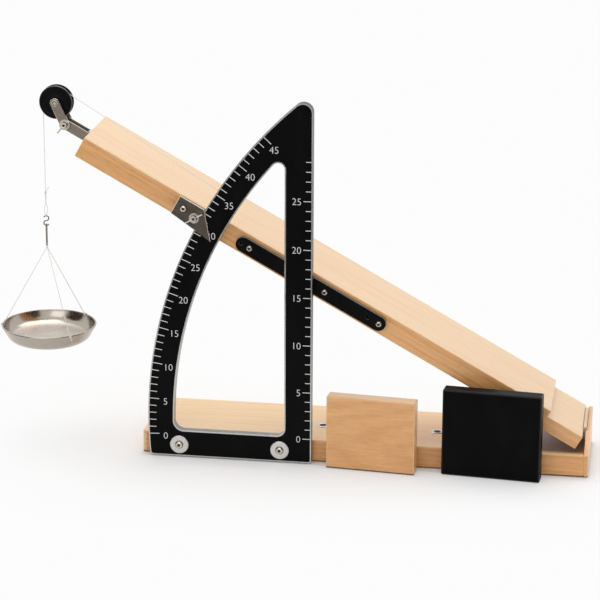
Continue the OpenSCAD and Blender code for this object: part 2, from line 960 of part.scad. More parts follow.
// Bent bracket: a web on the plank's upper end and two arms that carry the pivot
module fork_bracket() {
    color(dark_steel)
        in_plane()
            difference() {
                union() {
                    translate([-plank_reach - web_t, -fork_out, plank_mid_h - web_h / 2])
                        cube([web_t, 2 * fork_out, web_h]);
                    for (y = [-fork_in, fork_out])
                        translate([0, y, 0])
                            facing_front()
                                linear_extrude(strap_t) {
                                    translate([-pivot_s, pivot_h])
                                        circle(d = arm_strap_w, $fn = fn);
                                    translate([-pivot_s, pivot_h - arm_strap_w / 2])
                                        square([pivot_s - plank_reach - web_t / 2, arm_strap_w]);
                                }
                }
                translate([-pivot_s, 0, pivot_h])
                    along_axis(axle_r + run_fit, -fork_out - over, fork_out + over);
                at_fork_screws()
                    shank_hole(fork_screw_r, web_t + over);
            }
}

module fork_screws() {
    color(steel)
        in_plane()
            at_fork_screws()
                dome_screw(fork_screw_head_r, fork_screw_head_h, fork_screw_r, fork_screw_l);
}

module anchor_eye() {
    color(steel)
        in_plane()
            translate([-eye_s, 0, 0]) {
                translate([0, 0, eye_ring_h])
                    wire_arc(eye_ring_r, eye_wire_r, 0, 360);
                translate([0, 0, tongue_t - eye_shank_l])
                    cylinder(h = eye_h - eye_ring_r + eye_shank_l, r = eye_shank_r, $fn = fn);
            }
}

// One swivelling arm, with its front face at y
module pulley_arm(y) {
    in_plane()
        translate([0, y, 0])
            facing_front()
                difference() {
                    strap([-pivot_s, pivot_h], [-axle_s, axle_h], arm_strap_w, strap_t);
                    translate([-pivot_s, pivot_h, -over])
                        cylinder(h = strap_t + 2 * over, r = axle_r + run_fit, $fn = fn);
                    translate([-axle_s, axle_h, -over])
                        cylinder(h = strap_t + 2 * over, r = axle_r + run_fit, $fn = fn);
                }
}

module arm_front() {
    color(dark_steel)
        pulley_arm(-arm_in);
}

module arm_rear() {
    color(dark_steel)
        pulley_arm(arm_out);
}

// Place children on the axle's axis, with +Z to the front
module at_axle() {
    in_plane()
        translate([-axle_s, 0, axle_h])
            facing_front()
                children();
}

module axle() {
    head_t = 1.2;
    color(steel)
        at_axle() {
            translate([0, 0, -arm_out])
                cylinder(h = 2 * arm_out, r = axle_r, $fn = fn);
            for (z = [-arm_out - head_t, arm_out])
                translate([0, 0, z])
                    cylinder(h = head_t, r = axle_r + 1.2, $fn = fn);
        }
}

module axle_washers() {
    color(steel)
        at_axle()
            for (z = [-arm_in, wheel_t / 2 + 0.2])
                translate([0, 0, z])
                    ring(axle_r + run_fit, 3.6, arm_in - wheel_t / 2 - 0.2);
}

// Place children on the pivot's axis, with +Z to the front
module at_pivot() {
    in_plane()
        translate([-pivot_s, 0, pivot_h])
            facing_front()
                children();
}

module pivot_nut() {
    color(steel)
        at_pivot()
            translate([0, 0, -arm_out - nut_h])
                difference() {
                    cylinder(h = nut_h, r = nut_r, $fn = 6);
                    translate([0, 0, -over])
                        cylinder(h = nut_h + 2 * over, r = axle_r + run_fit, $fn = fn);
                }
}

module pivot_screw() {
    color(steel)
        at_pivot()
            translate([0, 0, arm_out])
                rotate(pivot_bar_turn)
                    tommy_screw(2 * arm_out + nut_h + over);
}

module pivot_washer() {
    color(steel)
        at_pivot()
            translate([0, 0, arm_out])
                ring(axle_r + run_fit, pivot_washer_r, washer_t);
}

module pivot_tommy_bar() {
    color(steel)
        at_pivot()
            translate([0, 0, arm_out])
                rotate(pivot_bar_turn)
                    tommy_bar(pivot_bar_tail, tommy_l / 2 + 1);
}

// Grooved wheel with a raised hub and a dished face on each side
module pulley_wheel() {
    half = wheel_t / 2;
    hub_r = 6.5;
    dish = 0.8;
    dish_r = wheel_r - 3;
    lip = 0.6;
    groove_half = half - 1.2;
    groove_floor = 0.6;
    side = [[bush_r + run_fit, half], [hub_r, half], [hub_r + dish, half - dish],
        [dish_r - dish, half - dish],
        [dish_r, half], [wheel_r - lip, half], [wheel_r, half - lip], [wheel_r, groove_half],
        [groove_r, groove_floor]];
    color(black)
        at_axle()
            rotate_extrude($fn = 96)
                polygon(concat(side, [for (i = [len(side) - 1 : -1 : 0]) [side[i].x, -side[i].y]]));
}

module pulley_bush() {
    color(steel)
        at_axle()
            translate([0, 0, -wheel_t / 2])
                ring(axle_r + run_fit, bush_r, wheel_t);
}

// Thread from the anchor eye to the top of the wheel
module thread_run() {
    tangent = [-axle_s + wrap_r * sin(run_lift), 0, axle_h + wrap_r * cos(run_lift)];
    eye = [-eye_s, 0, eye_ring_h];
    start = eye + (eye_ring_r + eye_wire_r + 0.2) * (tangent - eye) / norm(tangent - eye);
    color(white_thread)
        in_plane()
            rod(start, tangent, thread_r);
}

// Thread in the wheel's groove
module thread_wrap() {
    color(white_thread)
        translate([axle_x, 0, axle_z])
            wire_arc(wrap_r, thread_r, wrap_start, 180 - wrap_start);
}

// Thread from the wheel down to its knot, and the loop that holds the hook
module thread_drop() {
    color(white_thread)
        translate([thread_x, 0, 0]) {
            translate([0, 0, knot_z]) {
                cylinder(h = drop_l, r = thread_r, $fn = 24);
                sphere(r = knot_r, $fn = fn);
            }
            wire_link(loop_low_z, knot_z, loop_half_w, thread_r);
        }
}

module s_hook() {
    color(steel)
        translate([thread_x, 0, 0]) {
            translate([0, 0, hook_upper_z])
                wire_arc(hook_r, hook_wire_r, -90, 250);
            translate([0, 0, hook_lower_z])
                wire_arc(hook_r, hook_wire_r, 90, 250);
        }
}

module pan_link() {
    color(steel)
        translate([thread_x, 0, 0])
            wire_link(link_low_z, link_top_z, link_half_w, link_wire_r);
}

module pan_threads() {
    tie_r = pan_r - 2.4;
    color(white_thread)
        translate([thread_x, 0, 0]) {
            translate([0, 0, sling_z])
                sphere(r = knot_r, $fn = fn);
            for (a = sling_angles)
                rod([0, 0, sling_z], [tie_r * cos(a), tie_r * sin(a), rim_z - 0.4], thread_r * 0.8);
        }
}

// Points of the pan's bend at a distance from the bend's middle
function bend_points(r) =
    [for (a = [0 : pan_flare / 8 : pan_flare + 0.1]) [pan_floor_r + r * sin(a), pan_bend - r * cos(a)]];

module pan() {
    out = [cos(pan_flare), sin(pan_flare)];
    rise = wall_rise / sin(pan_flare);
    outer = bend_points(pan_bend);
    inner = bend_points(pan_bend - pan_wall);
    last = len(outer) - 1;
    color(steel)
        translate([thread_x, 0, rim_z - pan_depth])
            rotate_extrude($fn = 120) {
                polygon(concat([[0, 0]], outer, [outer[last] + rise * out, inner[last] + rise * out],
                    [for (i = [last : -1 : 0]) inner[i]], [[0, pan_wall]]));
                translate(outer[last] + rise * out)
                    circle(r = bead_r, $fn = 24);
            }
}

// Stand a loose block in front of the base, its left back corner near the base board
module beside_base(left) {
    translate([left, base_front - block_gap, 0])
        rotate(-block_turn)
            translate([0, -block_t, 0])
                children();
}

module wood_block() {
    color(beech)
        beside_base(wood_block_x - wood_block_w / 2)
            chamfer_box([wood_block_w, block_t, wood_block_h], edge_chamfer);
}

module black_block() {
    color(black)
        beside_base(black_block_x - black_block_w / 2)
            chamfer_box([black_block_w, block_t, black_block_h], edge_chamfer * 1.8);
}

base_board();
end_plate();
end_plate_screws();
base_screws();
cup_washers();
scale_plate();
scale_face();
scale_washers();
scale_screws();
hinge_base_leaf();
hinge_base_screws();
hinge_pin();
plank();
hinge_block();
lap_screws();
hinge_plane_leaf();
hinge_plane_screws();
side_bar();
side_bar_screws();
clamp_block();
pointer();
pointer_screw();
clamp_screw();
clamp_washer();
clamp_tommy_bar();
fork_bracket();
fork_screws();
anchor_eye();
arm_front();
arm_rear();
axle();
axle_washers();
pivot_nut();
pivot_screw();
pivot_washer();
pivot_tommy_bar();
pulley_wheel();
pulley_bush();
thread_run();
thread_wrap();
thread_drop();
s_hook();
pan_link();
pan_threads();
pan();
wood_block();
black_block();
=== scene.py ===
import bisect
import json
import math
import bmesh
import bpy
from mathutils import Euler, Matrix, Vector
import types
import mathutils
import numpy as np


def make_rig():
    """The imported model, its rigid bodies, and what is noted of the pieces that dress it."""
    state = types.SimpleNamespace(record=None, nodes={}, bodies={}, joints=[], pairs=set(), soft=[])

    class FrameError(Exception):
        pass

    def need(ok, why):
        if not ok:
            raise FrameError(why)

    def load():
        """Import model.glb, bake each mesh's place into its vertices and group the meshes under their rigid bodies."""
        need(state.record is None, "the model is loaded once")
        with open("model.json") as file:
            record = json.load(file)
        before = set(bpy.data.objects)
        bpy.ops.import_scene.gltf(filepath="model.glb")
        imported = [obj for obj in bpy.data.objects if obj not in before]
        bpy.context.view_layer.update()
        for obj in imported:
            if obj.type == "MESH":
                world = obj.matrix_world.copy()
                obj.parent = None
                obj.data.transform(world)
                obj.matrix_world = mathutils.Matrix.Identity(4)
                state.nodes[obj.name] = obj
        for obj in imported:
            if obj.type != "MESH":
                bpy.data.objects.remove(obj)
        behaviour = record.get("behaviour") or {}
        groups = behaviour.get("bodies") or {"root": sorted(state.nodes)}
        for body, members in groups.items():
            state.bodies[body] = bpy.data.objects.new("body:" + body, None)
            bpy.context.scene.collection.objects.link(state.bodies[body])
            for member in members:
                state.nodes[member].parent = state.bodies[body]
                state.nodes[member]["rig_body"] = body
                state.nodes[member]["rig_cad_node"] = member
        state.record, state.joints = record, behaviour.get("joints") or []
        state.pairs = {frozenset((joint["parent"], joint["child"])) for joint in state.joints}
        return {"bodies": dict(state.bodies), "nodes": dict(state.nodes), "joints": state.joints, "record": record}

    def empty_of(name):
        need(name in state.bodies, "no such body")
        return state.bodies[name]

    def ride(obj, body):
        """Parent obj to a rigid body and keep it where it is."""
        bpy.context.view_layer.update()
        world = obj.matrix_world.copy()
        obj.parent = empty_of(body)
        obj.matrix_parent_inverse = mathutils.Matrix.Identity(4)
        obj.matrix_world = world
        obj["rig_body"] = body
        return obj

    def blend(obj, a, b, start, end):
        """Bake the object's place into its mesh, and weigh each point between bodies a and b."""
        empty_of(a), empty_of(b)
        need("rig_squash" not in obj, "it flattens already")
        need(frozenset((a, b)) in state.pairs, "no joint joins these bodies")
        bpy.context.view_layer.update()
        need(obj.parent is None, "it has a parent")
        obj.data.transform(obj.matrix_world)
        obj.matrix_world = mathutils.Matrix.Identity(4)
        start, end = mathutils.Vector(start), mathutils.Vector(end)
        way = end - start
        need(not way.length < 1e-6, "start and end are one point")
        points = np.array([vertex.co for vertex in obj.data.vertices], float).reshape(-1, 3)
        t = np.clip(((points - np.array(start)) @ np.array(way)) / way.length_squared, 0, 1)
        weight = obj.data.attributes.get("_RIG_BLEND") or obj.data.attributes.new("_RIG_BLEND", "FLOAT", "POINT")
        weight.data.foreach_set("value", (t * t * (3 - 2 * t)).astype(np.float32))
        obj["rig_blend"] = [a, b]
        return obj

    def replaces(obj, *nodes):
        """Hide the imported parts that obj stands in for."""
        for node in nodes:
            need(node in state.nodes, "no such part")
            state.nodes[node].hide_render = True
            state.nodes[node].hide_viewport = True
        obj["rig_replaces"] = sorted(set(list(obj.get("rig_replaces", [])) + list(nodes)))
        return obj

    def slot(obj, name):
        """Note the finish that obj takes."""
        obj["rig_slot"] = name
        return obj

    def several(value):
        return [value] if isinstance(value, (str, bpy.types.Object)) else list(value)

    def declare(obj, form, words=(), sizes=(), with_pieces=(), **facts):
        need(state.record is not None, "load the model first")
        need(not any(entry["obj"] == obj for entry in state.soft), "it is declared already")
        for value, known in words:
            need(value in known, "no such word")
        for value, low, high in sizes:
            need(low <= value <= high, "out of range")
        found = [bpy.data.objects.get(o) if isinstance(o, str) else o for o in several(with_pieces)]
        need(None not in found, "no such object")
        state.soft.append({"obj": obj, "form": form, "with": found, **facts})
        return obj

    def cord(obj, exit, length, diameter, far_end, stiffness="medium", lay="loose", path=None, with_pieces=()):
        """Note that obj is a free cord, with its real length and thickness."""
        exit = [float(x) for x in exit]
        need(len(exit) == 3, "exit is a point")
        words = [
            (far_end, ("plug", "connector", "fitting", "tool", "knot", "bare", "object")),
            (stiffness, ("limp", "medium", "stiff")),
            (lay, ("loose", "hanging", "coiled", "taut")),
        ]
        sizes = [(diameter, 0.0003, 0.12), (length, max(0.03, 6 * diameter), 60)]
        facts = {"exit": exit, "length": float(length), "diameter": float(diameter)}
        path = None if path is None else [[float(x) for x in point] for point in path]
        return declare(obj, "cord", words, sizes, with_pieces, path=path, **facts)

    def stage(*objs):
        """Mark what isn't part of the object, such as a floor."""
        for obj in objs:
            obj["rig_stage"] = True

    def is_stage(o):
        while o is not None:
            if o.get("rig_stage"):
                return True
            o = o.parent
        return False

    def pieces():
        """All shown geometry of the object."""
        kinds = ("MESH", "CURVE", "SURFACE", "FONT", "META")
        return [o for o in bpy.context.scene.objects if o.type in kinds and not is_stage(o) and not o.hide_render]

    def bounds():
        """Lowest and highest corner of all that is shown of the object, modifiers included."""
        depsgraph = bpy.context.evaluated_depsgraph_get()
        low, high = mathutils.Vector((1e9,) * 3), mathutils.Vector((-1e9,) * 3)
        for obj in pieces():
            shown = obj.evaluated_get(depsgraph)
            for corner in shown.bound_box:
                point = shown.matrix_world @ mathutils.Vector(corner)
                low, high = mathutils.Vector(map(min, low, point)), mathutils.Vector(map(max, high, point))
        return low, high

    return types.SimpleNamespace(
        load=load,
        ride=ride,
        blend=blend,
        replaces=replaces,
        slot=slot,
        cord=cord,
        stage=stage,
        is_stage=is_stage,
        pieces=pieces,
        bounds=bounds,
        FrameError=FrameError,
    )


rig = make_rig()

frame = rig.load()
cad_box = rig.bounds()

MM = 0.001
UP = Vector((0, 0, 1))

# The camera, fitted to the photograph
AZIMUTH, ELEVATION, ROLL = math.radians(8.550), math.radians(17.545), math.radians(0.263)
SENSOR_W, FOCAL_L = 36.0, 148.64
CAMERA_AIM, CAMERA_DISTANCE = Vector((-0.06287, -0.052, 0.1723)), 2.4819

# The hinge axis and the plank's slope, as the solids have them
HINGE_X, HINGE_Z = 224.8 * MM, 39.2 * MM
TILT = math.radians(29)
PLANK_TURN = (0, -TILT, 0)
SLOPE = Matrix.Translation((HINGE_X, 0, HINGE_Z)) @ Matrix.Rotation(TILT, 4, "Y")


def on_plank(out, height, across=0.0):
    """A place by the sloping plank: how far out from the hinge axis, how high over it, and how far across."""
    return SLOPE @ Vector((-out, across, height))


# Boards and blocks
BASE_TOP_Z, WOOD_BLOCK_TOP_Z = 23 * MM, 77 * MM
PLANK_TOP, HINGE_BLOCK_TOP = on_plank(300 * MM, 7 * MM), on_plank(30 * MM, 0)
# Painted light on the wood: heights of the contact shade at the feet, depth below a top where its sheen starts,
# raggedness of the shade's edge, and where the shadow under the hinge block lies
BASE_FOOT, BLOCK_FOOT = 1.5 * MM, 1.8 * MM
TOP_SHEEN_SKIN, CONTACT_SHADE_EDGE = 0.5 * MM, 0.6 * MM
HINGE_SHADOW_FROM_X, HINGE_SHADOW_FULL_X, HINGE_SHADOW_FRONT_Y, HINGE_SHADOW_STEEPNESS = 0.150, 0.175, -0.050, 120.0

# The scale plate and its printing
PLATE_R, PLATE_RIGHT, RIM_W = 443 * MM, -49.5 * MM, 1.3 * MM
PLATE_SKIN, PLATE_FOOT_Z, PLATE_APEX_Z = 2 * MM, 4 * MM, 330 * MM
FACE_Y = -60.3 * MM
LINE_W, LINE_T, NUMBER_STEP = 0.75 * MM, 0.08 * MM, 5
NUMBER_H, NUMBER_T, NUMBER_THINNING, NUMBER_SQUEEZE = 7.4 * MM, 0.08 * MM, 0.13 * MM, 0.96
FIGURE_SHARE = 0.72
LAST_DEGREE, ZERO_DROP, NUMBER_LAG = 45, 2.0, 0.35
DEGREE_LINE, DEGREE_LONG_LINE, DEGREE_NUMBER_R = 7.3 * MM, 10 * MM, 425.2 * MM
LAST_CENTIMETRE, CENTIMETRE_ZERO_Z, CENTIMETRE = 29, 26.85 * MM, 10 * MM
CENTIMETRE_LINE, CENTIMETRE_LONG_LINE = 5.4 * MM, 7.8 * MM
CENTIMETRE_NUMBER_IN, CENTIMETRE_NUMBER_DROP = 9.6 * MM, 0.9 * MM

# The pulley wheel
AXLE = on_plank(630.167 * MM, 10.4436 * MM)
WHEEL_R, WHEEL_T, GROOVE_R, GROOVE_HALF_W = 17.3 * MM, 9 * MM, 13.4 * MM, 0.6 * MM
WHEEL_BORE_R, WHEEL_HUB_R, WHEEL_LIP_R = 3.45 * MM, 6.5 * MM, 14.1 * MM
WHEEL_DISH, WHEEL_DRAFT, WHEEL_CHAMFER, WHEEL_RIM_R = 0.3 * MM, 0.5 * MM, 0.6 * MM, 15.5 * MM
WHEEL_FACETS, WHEEL_LEAST_FOLD = 128, math.radians(18)

# The thread
THREAD_D, WRAP_GAP, EYE_GAP = 0.8 * MM, 0.3 * MM, 0.2 * MM
PLY_R_SHARE, PLY_OUT_SHARE, LAY_SHARE = 0.3, 0.2, 2.2
WRAP_R = GROOVE_R + THREAD_D / 2 + WRAP_GAP
EYE = on_plank(430 * MM, 15.5 * MM)
EYE_RING_R, EYE_WIRE_R, EYE_KNOT_OUT, EYE_BEND_SHARE = 2.6 * MM, 0.7 * MM, 6.5 * MM, 0.6
ARM_BEND_FROM, ARM_BEND_TO = on_plank(596 * MM, 22 * MM), on_plank(628 * MM, 24 * MM)
THREAD_X = AXLE.x - WRAP_R
DROP_L, LOOP_L, LOOP_HALF_W, LOOP_TWIST = 96 * MM, 26 * MM, 1.7 * MM, 1.5 * math.pi
KNOT_Z = AXLE.z - DROP_L
LOOP_LOW_Z = KNOT_Z - LOOP_L
KNOT_R, KNOT_PITCH, KNOT_TURNS, SMALL_LOOP_HALF_W = 0.75 * MM, 0.75 * MM, 4, 1.0 * MM
KNOT_END, KNOT_END_OUT = Vector((0.6, -0.5, 1.0)) * MM, 3.2 * MM
KNOT_END_UP, KNOT_END_DROOP = 6.5 * MM, 1.4 * MM
LOOP_PINCH, LOOP_SWELL, LOOP_POINTS, LOOP_END_STEPS = 0.16, 1.4, 26, 9
RUN_POINTS, DROP_POINTS, WRAP_STEPS, COIL_STEPS = 40, 30, 40, 14
TWIST_STEPS, LEAST_TWIST_STEPS, PLY_SIDES = 7, 8, 6

# The weight pan and its three threads
LINK_LOW_Z, LINK_GAP, SLING_Z, SLING_H = 201.995 * MM, 1.1 * MM, 199.795 * MM, 84 * MM
RIM_Z = SLING_Z - SLING_H
SLING_ANGLES = {"left": 190, "back": 52, "front": -50}
SLING_D, SLING_KNOT_R, SLING_KNOT_PITCH = THREAD_D, 0.7 * MM, 0.6 * MM
SLING_FOOT_IN, SLING_FOOT_UP = 1.1 * MM, 0.9 * MM
RIM_TIE_TURNS, RIM_TIE_OUT_SHARE, RIM_TIE_PITCH_SHARE = 2.4, 0.6, 1.1
RIM_END_OUT, RIM_END_L, RIM_END_DROP, RIM_END_DROOP = 1.5 * MM, 2.6 * MM, 0.4 * MM, 3.4 * MM
PAN_R, PAN_DEPTH, PAN_WALL, PAN_BEAD_R = 48.4 * MM, 17 * MM, 0.8 * MM, 0.9 * MM
PAN_BEND_R, PAN_FLARE, PAN_FLOOR_RISE = 14 * MM, math.radians(66), 4.2 * MM
PAN_FLOOR_DROP, PAN_FLOOR_BLEND, PAN_FLOOR_FACING = 6 * MM, 1.3, 0.9
PAN_BEAD_FROM, PAN_BEAD_SWEEP = math.radians(75), math.radians(230)
PAN_FACETS, PAN_CURVE_STEPS, PAN_BEAD_STEPS = 144, 12, 14
PAN_MIDDLE = Vector((THREAD_X, 0, RIM_Z))

# Small fittings
EDGE_W = 1.3 * MM
SOCKET_R, SOCKET_DEPTH, SOCKET_LEDGE = 1.75 * MM, 3 * MM, 0.1 * MM
RING_IN, RING_W, RING_DEPTH = 0.7 * MM, 0.8 * MM, 0.3 * MM
BAR_HOLES = {"low": 249 * MM, "high": 396 * MM}
BAR_HOLE_Y, BAR_HOLE_DROP, BAR_HOLE_FACETS = -44 * MM, 4 * MM, 32
BAR_HOLE_R, BAR_HOLE_BACK, BAR_HOLE_FRONT = 1.9 * MM, 0.2 * MM, 1.6 * MM
BAR_HOLE_CHAMFER_IN, BAR_HOLE_CHAMFER_DOWN = 0.4 * MM, 0.3 * MM

# How widely each kind of edge is broken
BOARD_BREAK, PLATE_BREAK, FACE_BREAK = 0.35 * MM, 0.4 * MM, 0.1 * MM
BAR_BREAK, POINTER_BREAK, STRAP_BREAK, CLAMP_BREAK = 0.6 * MM, 0.65 * MM, 0.4 * MM, 0.3 * MM
SCREW_BREAK, CLAMP_SCREW_BREAK, LEAF_BREAK = 0.12 * MM, 0.5 * MM, 0.08 * MM
BUSH_BREAK, WHEEL_BREAK = 0.1 * MM, 0.22 * MM
POINTER_LEAST_EDGE, CLAMP_SCREW_LEAST_EDGE = 5 * MM, 0.2 * MM

# How squarely a face looks to the front or the back, where its finish depends on it
FRONT_FACING, HEAD_FACING, PLATE_FACING, WALL_FACING = 0.9, 0.72, 0.95, 0.3


class Socket:
    """An output of a material's nodes, with arithmetic."""

    def __init__(self, tree, out=None):
        self.tree, self.out = tree, out

    def node(self, kind, settings=None, sockets=None, take=0):
        made = self.tree.nodes.new("ShaderNode" + kind)
        for key, value in (settings or {}).items():
            if key == "stops":
                stops = made.color_ramp.elements
                stops[0].position, stops[1].position = value[0][0], value[-1][0]
                for at, _ in value[1:-1]:
                    stops.new(at)
                for stop, (_, grey) in zip(stops, value):
                    stop.color = (grey, grey, grey, 1)
            else:
                setattr(made, key, value)
        for key, value in (sockets or {}).items():
            if isinstance(value, Socket):
                self.tree.links.new(value.out, made.inputs[key])
            else:
                made.inputs[key].default_value = value
        return Socket(self.tree, made.outputs[take])

    def maths(self, operation, *values):
        return self.node("Math", {"operation": operation}, dict(enumerate(values)))

    def vector_maths(self, operation, *values, take="Vector"):
        return self.node("VectorMath", {"operation": operation}, dict(enumerate(values)), take)

    def __add__(self, other):
        return self.maths("ADD", self, other)

    def __radd__(self, other):
        return self.maths("ADD", other, self)

    def __sub__(self, other):
        return self.maths("SUBTRACT", self, other)

    def __rsub__(self, other):
        return self.maths("SUBTRACT", other, self)

    def __mul__(self, other):
        return self.maths("MULTIPLY", self, other)

    def __rmul__(self, other):
        return self.maths("MULTIPLY", other, self)

    def part(self, axis):
        return self.node("SeparateXYZ", None, {0: self}, axis)

    def mapped(self, scale=(1, 1, 1), turn=(0, 0, 0), shift=(0, 0, 0)):
        return self.node("Mapping", None,
                         {"Vector": self, "Scale": scale, "Rotation": turn, "Location": shift})

    def noise(self, scale, detail, roughness):
        return self.node("TexNoise", None,
                         {"Vector": self, "Scale": scale, "Detail": detail, "Roughness": roughness})

    def rings(self, about, scale, distortion, detail_scale):
        return self.node("TexWave", {"wave_type": "RINGS", "rings_direction": about, "wave_profile": "SIN"},
                         {"Vector": self, "Scale": scale, "Distortion": distortion, "Detail": 2.0,
                          "Detail Scale": detail_scale, "Detail Roughness": 0.5}, 1)

    def ramp(self, *stops):
        return self.node("ValToRGB", {"stops": stops}, {"Fac": self})

    def between(self, low, high):
        return self.ramp((low, 0.0), (high, 1.0))

    def tint(self, low, high):
        return self.node("Mix", {"data_type": "RGBA"}, {0: self, 6: (*low, 1), 7: (*high, 1)}, 2)

    def shade(self, colour, other, blend="MULTIPLY"):
        return self.node("Mix", {"data_type": "RGBA", "blend_type": blend},
                         {0: self, 6: colour, 7: (*other, 1)}, 2)

    def bump(self, height, strength):
        return self.node("Bump", None, {"Height": self, "Distance": height, "Strength": strength}, "Normal")


FINISH = {}


def blank(name, **sockets):
    """A new material, kept among the finishes by its name: its shader, and the object's own coordinates."""
    material = FINISH[name] = bpy.data.materials.new(name)
    material.use_nodes = True
    shader = material.node_tree.nodes["Principled BSDF"]
    for key, value in sockets.items():
        shader.inputs[key.replace("_", " ")].default_value = value
    here = Socket(material.node_tree).node("TexCoord", take="Object")
    return material, shader, here


def feed(material, shader, **sockets):
    """Link outputs to the shader's inputs."""
    for key, value in sockets.items():
        material.node_tree.links.new(value.out, shader.inputs[key.replace("_", " ")])


# Colours of the wood, of the painted sheen on its tops, and of the painted shade at its feet and under the hinge block
EARLY_WOOD, LATE_WOOD = (0.825, 0.445, 0.168), (0.635, 0.300, 0.095)
FLECK_SHADE, STREAK_SHADE = (0.80, 0.64, 0.46), (0.93, 0.82, 0.66)
TOP_SHEEN, BASE_TOP_SHEEN = (0.90, 0.70, 0.42), (0.98, 0.75, 0.43)
CONTACT_SHADE, HINGE_SHADOW = (0.040, 0.020, 0.009), (0.20, 0.10, 0.045)


def beech(name, turn=(0, 0, 0), shift=(0, 0, 0), pith=(0.05, -0.16), top=None, fleck=0.5, streak=0.5,
          pale=0.55, sheen_tone=TOP_SHEEN, lacquer=0.9, foot=None, hinge_shadow=False):
    """Lacquered beech with its grain along X, once turned, and a painted sheen that makes the face at the height of
    top paler.
    A foot gets painted contact shade up to its height, and the top face can get a painted shadow under the hinge
    block."""
    material, shader, here = blank(name, IOR=1.5, Coat_Weight=lacquer, Coat_Roughness=0.28)
    board = here.mapped(turn=turn, shift=shift)
    about = board.mapped(scale=(0.05, 1, 1), shift=(0, *pith))
    rings = about.rings("X", scale=58.0, distortion=3.0, detail_scale=1.2)
    streaks = board.mapped(scale=(8, 310, 310)).noise(1.0, 4.0, 0.6)
    fibres = board.mapped(scale=(34, 950, 950)).noise(1.0, 2.0, 0.6)
    flecks = board.mapped(scale=(90, 900, 780)).noise(1.0, 3.0, 0.6).between(0.52, 0.68)
    clouds = board.mapped(scale=(4, 14, 14)).noise(1.0, 2.0, 0.5)
    tone = rings * 0.14 + streaks * 0.36 + fibres * 0.46 + clouds * 0.34
    colour = tone.between(0.42, 0.88).tint(EARLY_WOOD, LATE_WOOD)
    colour = (flecks * fleck).shade(colour, FLECK_SHADE)
    # Painted sheen: the top face is mixed towards a paler tone, as light falling on it would make it
    if top:
        level = (Euler(turn).to_matrix() @ Vector(top)).z + shift[2] - TOP_SHEEN_SKIN
        upper = board.maths("GREATER_THAN", board.part("Z"), level)
        colour = (upper * pale).shade(colour, sheen_tone, "MIX")
    colour = (streaks.between(0.47, 0.60) * streak).shade(colour, STREAK_SHADE)
    # Painted shade: the foot turns dark, as the contact shadow would make it
    if foot:
        contact_shaded = board.maths("LESS_THAN", here.part("Z"), fibres * CONTACT_SHADE_EDGE + (foot - CONTACT_SHADE_EDGE / 2))
        colour = (contact_shaded * 0.9).shade(colour, CONTACT_SHADE, "MIX")
    # Painted shadow: the top face darkens under the hinge block, where its shadow falls
    if hinge_shadow:
        along = (here.part("X") - HINGE_SHADOW_FROM_X) * (1 / (HINGE_SHADOW_FULL_X - HINGE_SHADOW_FROM_X))
        behind = (here.part("Y") - HINGE_SHADOW_FRONT_Y) * HINGE_SHADOW_STEEPNESS
        shadow_mask = along.between(0.0, 1.0) * behind.between(0.0, 1.0) * upper
        colour = (shadow_mask * 0.95).shade(colour, HINGE_SHADOW)
    grain = fibres * 0.6 + streaks * 0.3 + flecks * 0.5
    feed(material, shader, Base_Color=colour, Roughness=streaks * 0.05 + fibres * 0.06 + 0.36,
         Normal=grain.bump(0.05 * MM, 0.4))


def steel(name, dark, light, rough, brush, height=0.006 * MM, turn=(0, 0, 0)):
    """Rolled or drawn metal with fine lines and cloudy roughness. Brush says how close the lines lie along
    each axis, once turned."""
    material, shader, here = blank(name, Metallic=1.0)
    lines = here.mapped(turn=turn).mapped(scale=brush).noise(1.0, 3.0, 0.65)
    clouds = here.noise(140.0, 4.0, 0.6)
    wear = here.noise(900.0, 2.0, 0.5)
    colour = (lines * 0.6 + clouds * 0.4).between(0.3, 0.7).tint(dark, light)
    feed(material, shader, Base_Color=colour, Roughness=clouds * 0.12 + lines * 0.12 + (rough - 0.12),
         Normal=(lines + wear * 0.4).bump(height, 0.6))


def painted(name, colour, worn, rough, gloss, grain=1400.0):
    """Paint or lacquer with a fine orange peel and faint rubbing."""
    material, shader, here = blank(name, Specular_IOR_Level=gloss)
    peel = here.noise(grain, 2.0, 0.5)
    rubs = here.mapped(scale=(60, 60, 22)).noise(1.0, 5.0, 0.65)
    dust = here.noise(5200.0, 1.0, 0.5).between(0.66, 0.74)
    mark = rubs.between(0.45, 0.80) * 0.55 + dust * 0.25
    feed(material, shader, Base_Color=mark.tint(colour, worn),
         Roughness=rubs * 0.16 + peel * 0.06 + (rough - 0.11), Normal=peel.bump(0.012 * MM, 0.5))


def printing(name, thin, full):
    """White printing ink."""
    material, shader, here = blank(name)
    speckle = here.noise(3200.0, 2.0, 0.6)
    cover = here.noise(420.0, 2.0, 0.5)
    feed(material, shader, Base_Color=(speckle * 0.5 + cover * 0.5).tint(thin, full),
         Roughness=speckle * 0.2 + 0.4)


def spun_steel(name, dark, light, rough):
    """Polished or satin pan steel with faint lathe rings about the pan's axis."""
    material, shader, here = blank(name, Metallic=1.0)
    about = here.mapped(shift=-PAN_MIDDLE)
    rings = about.rings("Z", scale=420.0, distortion=1.5, detail_scale=3.0)
    haze = about.noise(90.0, 4.0, 0.6)
    scuffs = about.mapped(scale=(600, 120, 300), turn=(0, 0, 0.6)).noise(1.0, 3.0, 0.6)
    feed(material, shader, Base_Color=(haze * 0.7 + scuffs * 0.3).tint(dark, light),
         Roughness=haze * 0.12 + rings * 0.05 + scuffs * 0.05 + (rough - 0.1),
         Normal=(rings * 0.5 + scuffs * 0.2).bump(0.003 * MM, 0.5))


def cotton(name, dark, light):
    """Off-white twisted thread."""
    material, shader, here = blank(name, Sheen_Weight=0.3, Sheen_Roughness=0.5)
    fluff = here.noise(5200.0, 3.0, 0.7)
    soil = here.noise(160.0, 2.0, 0.5)
    feed(material, shader, Base_Color=(fluff * 0.6 + soil * 0.4).tint(dark, light),
         Roughness=fluff * 0.2 + 0.7, Normal=fluff.bump(0.05 * MM, 0.8))
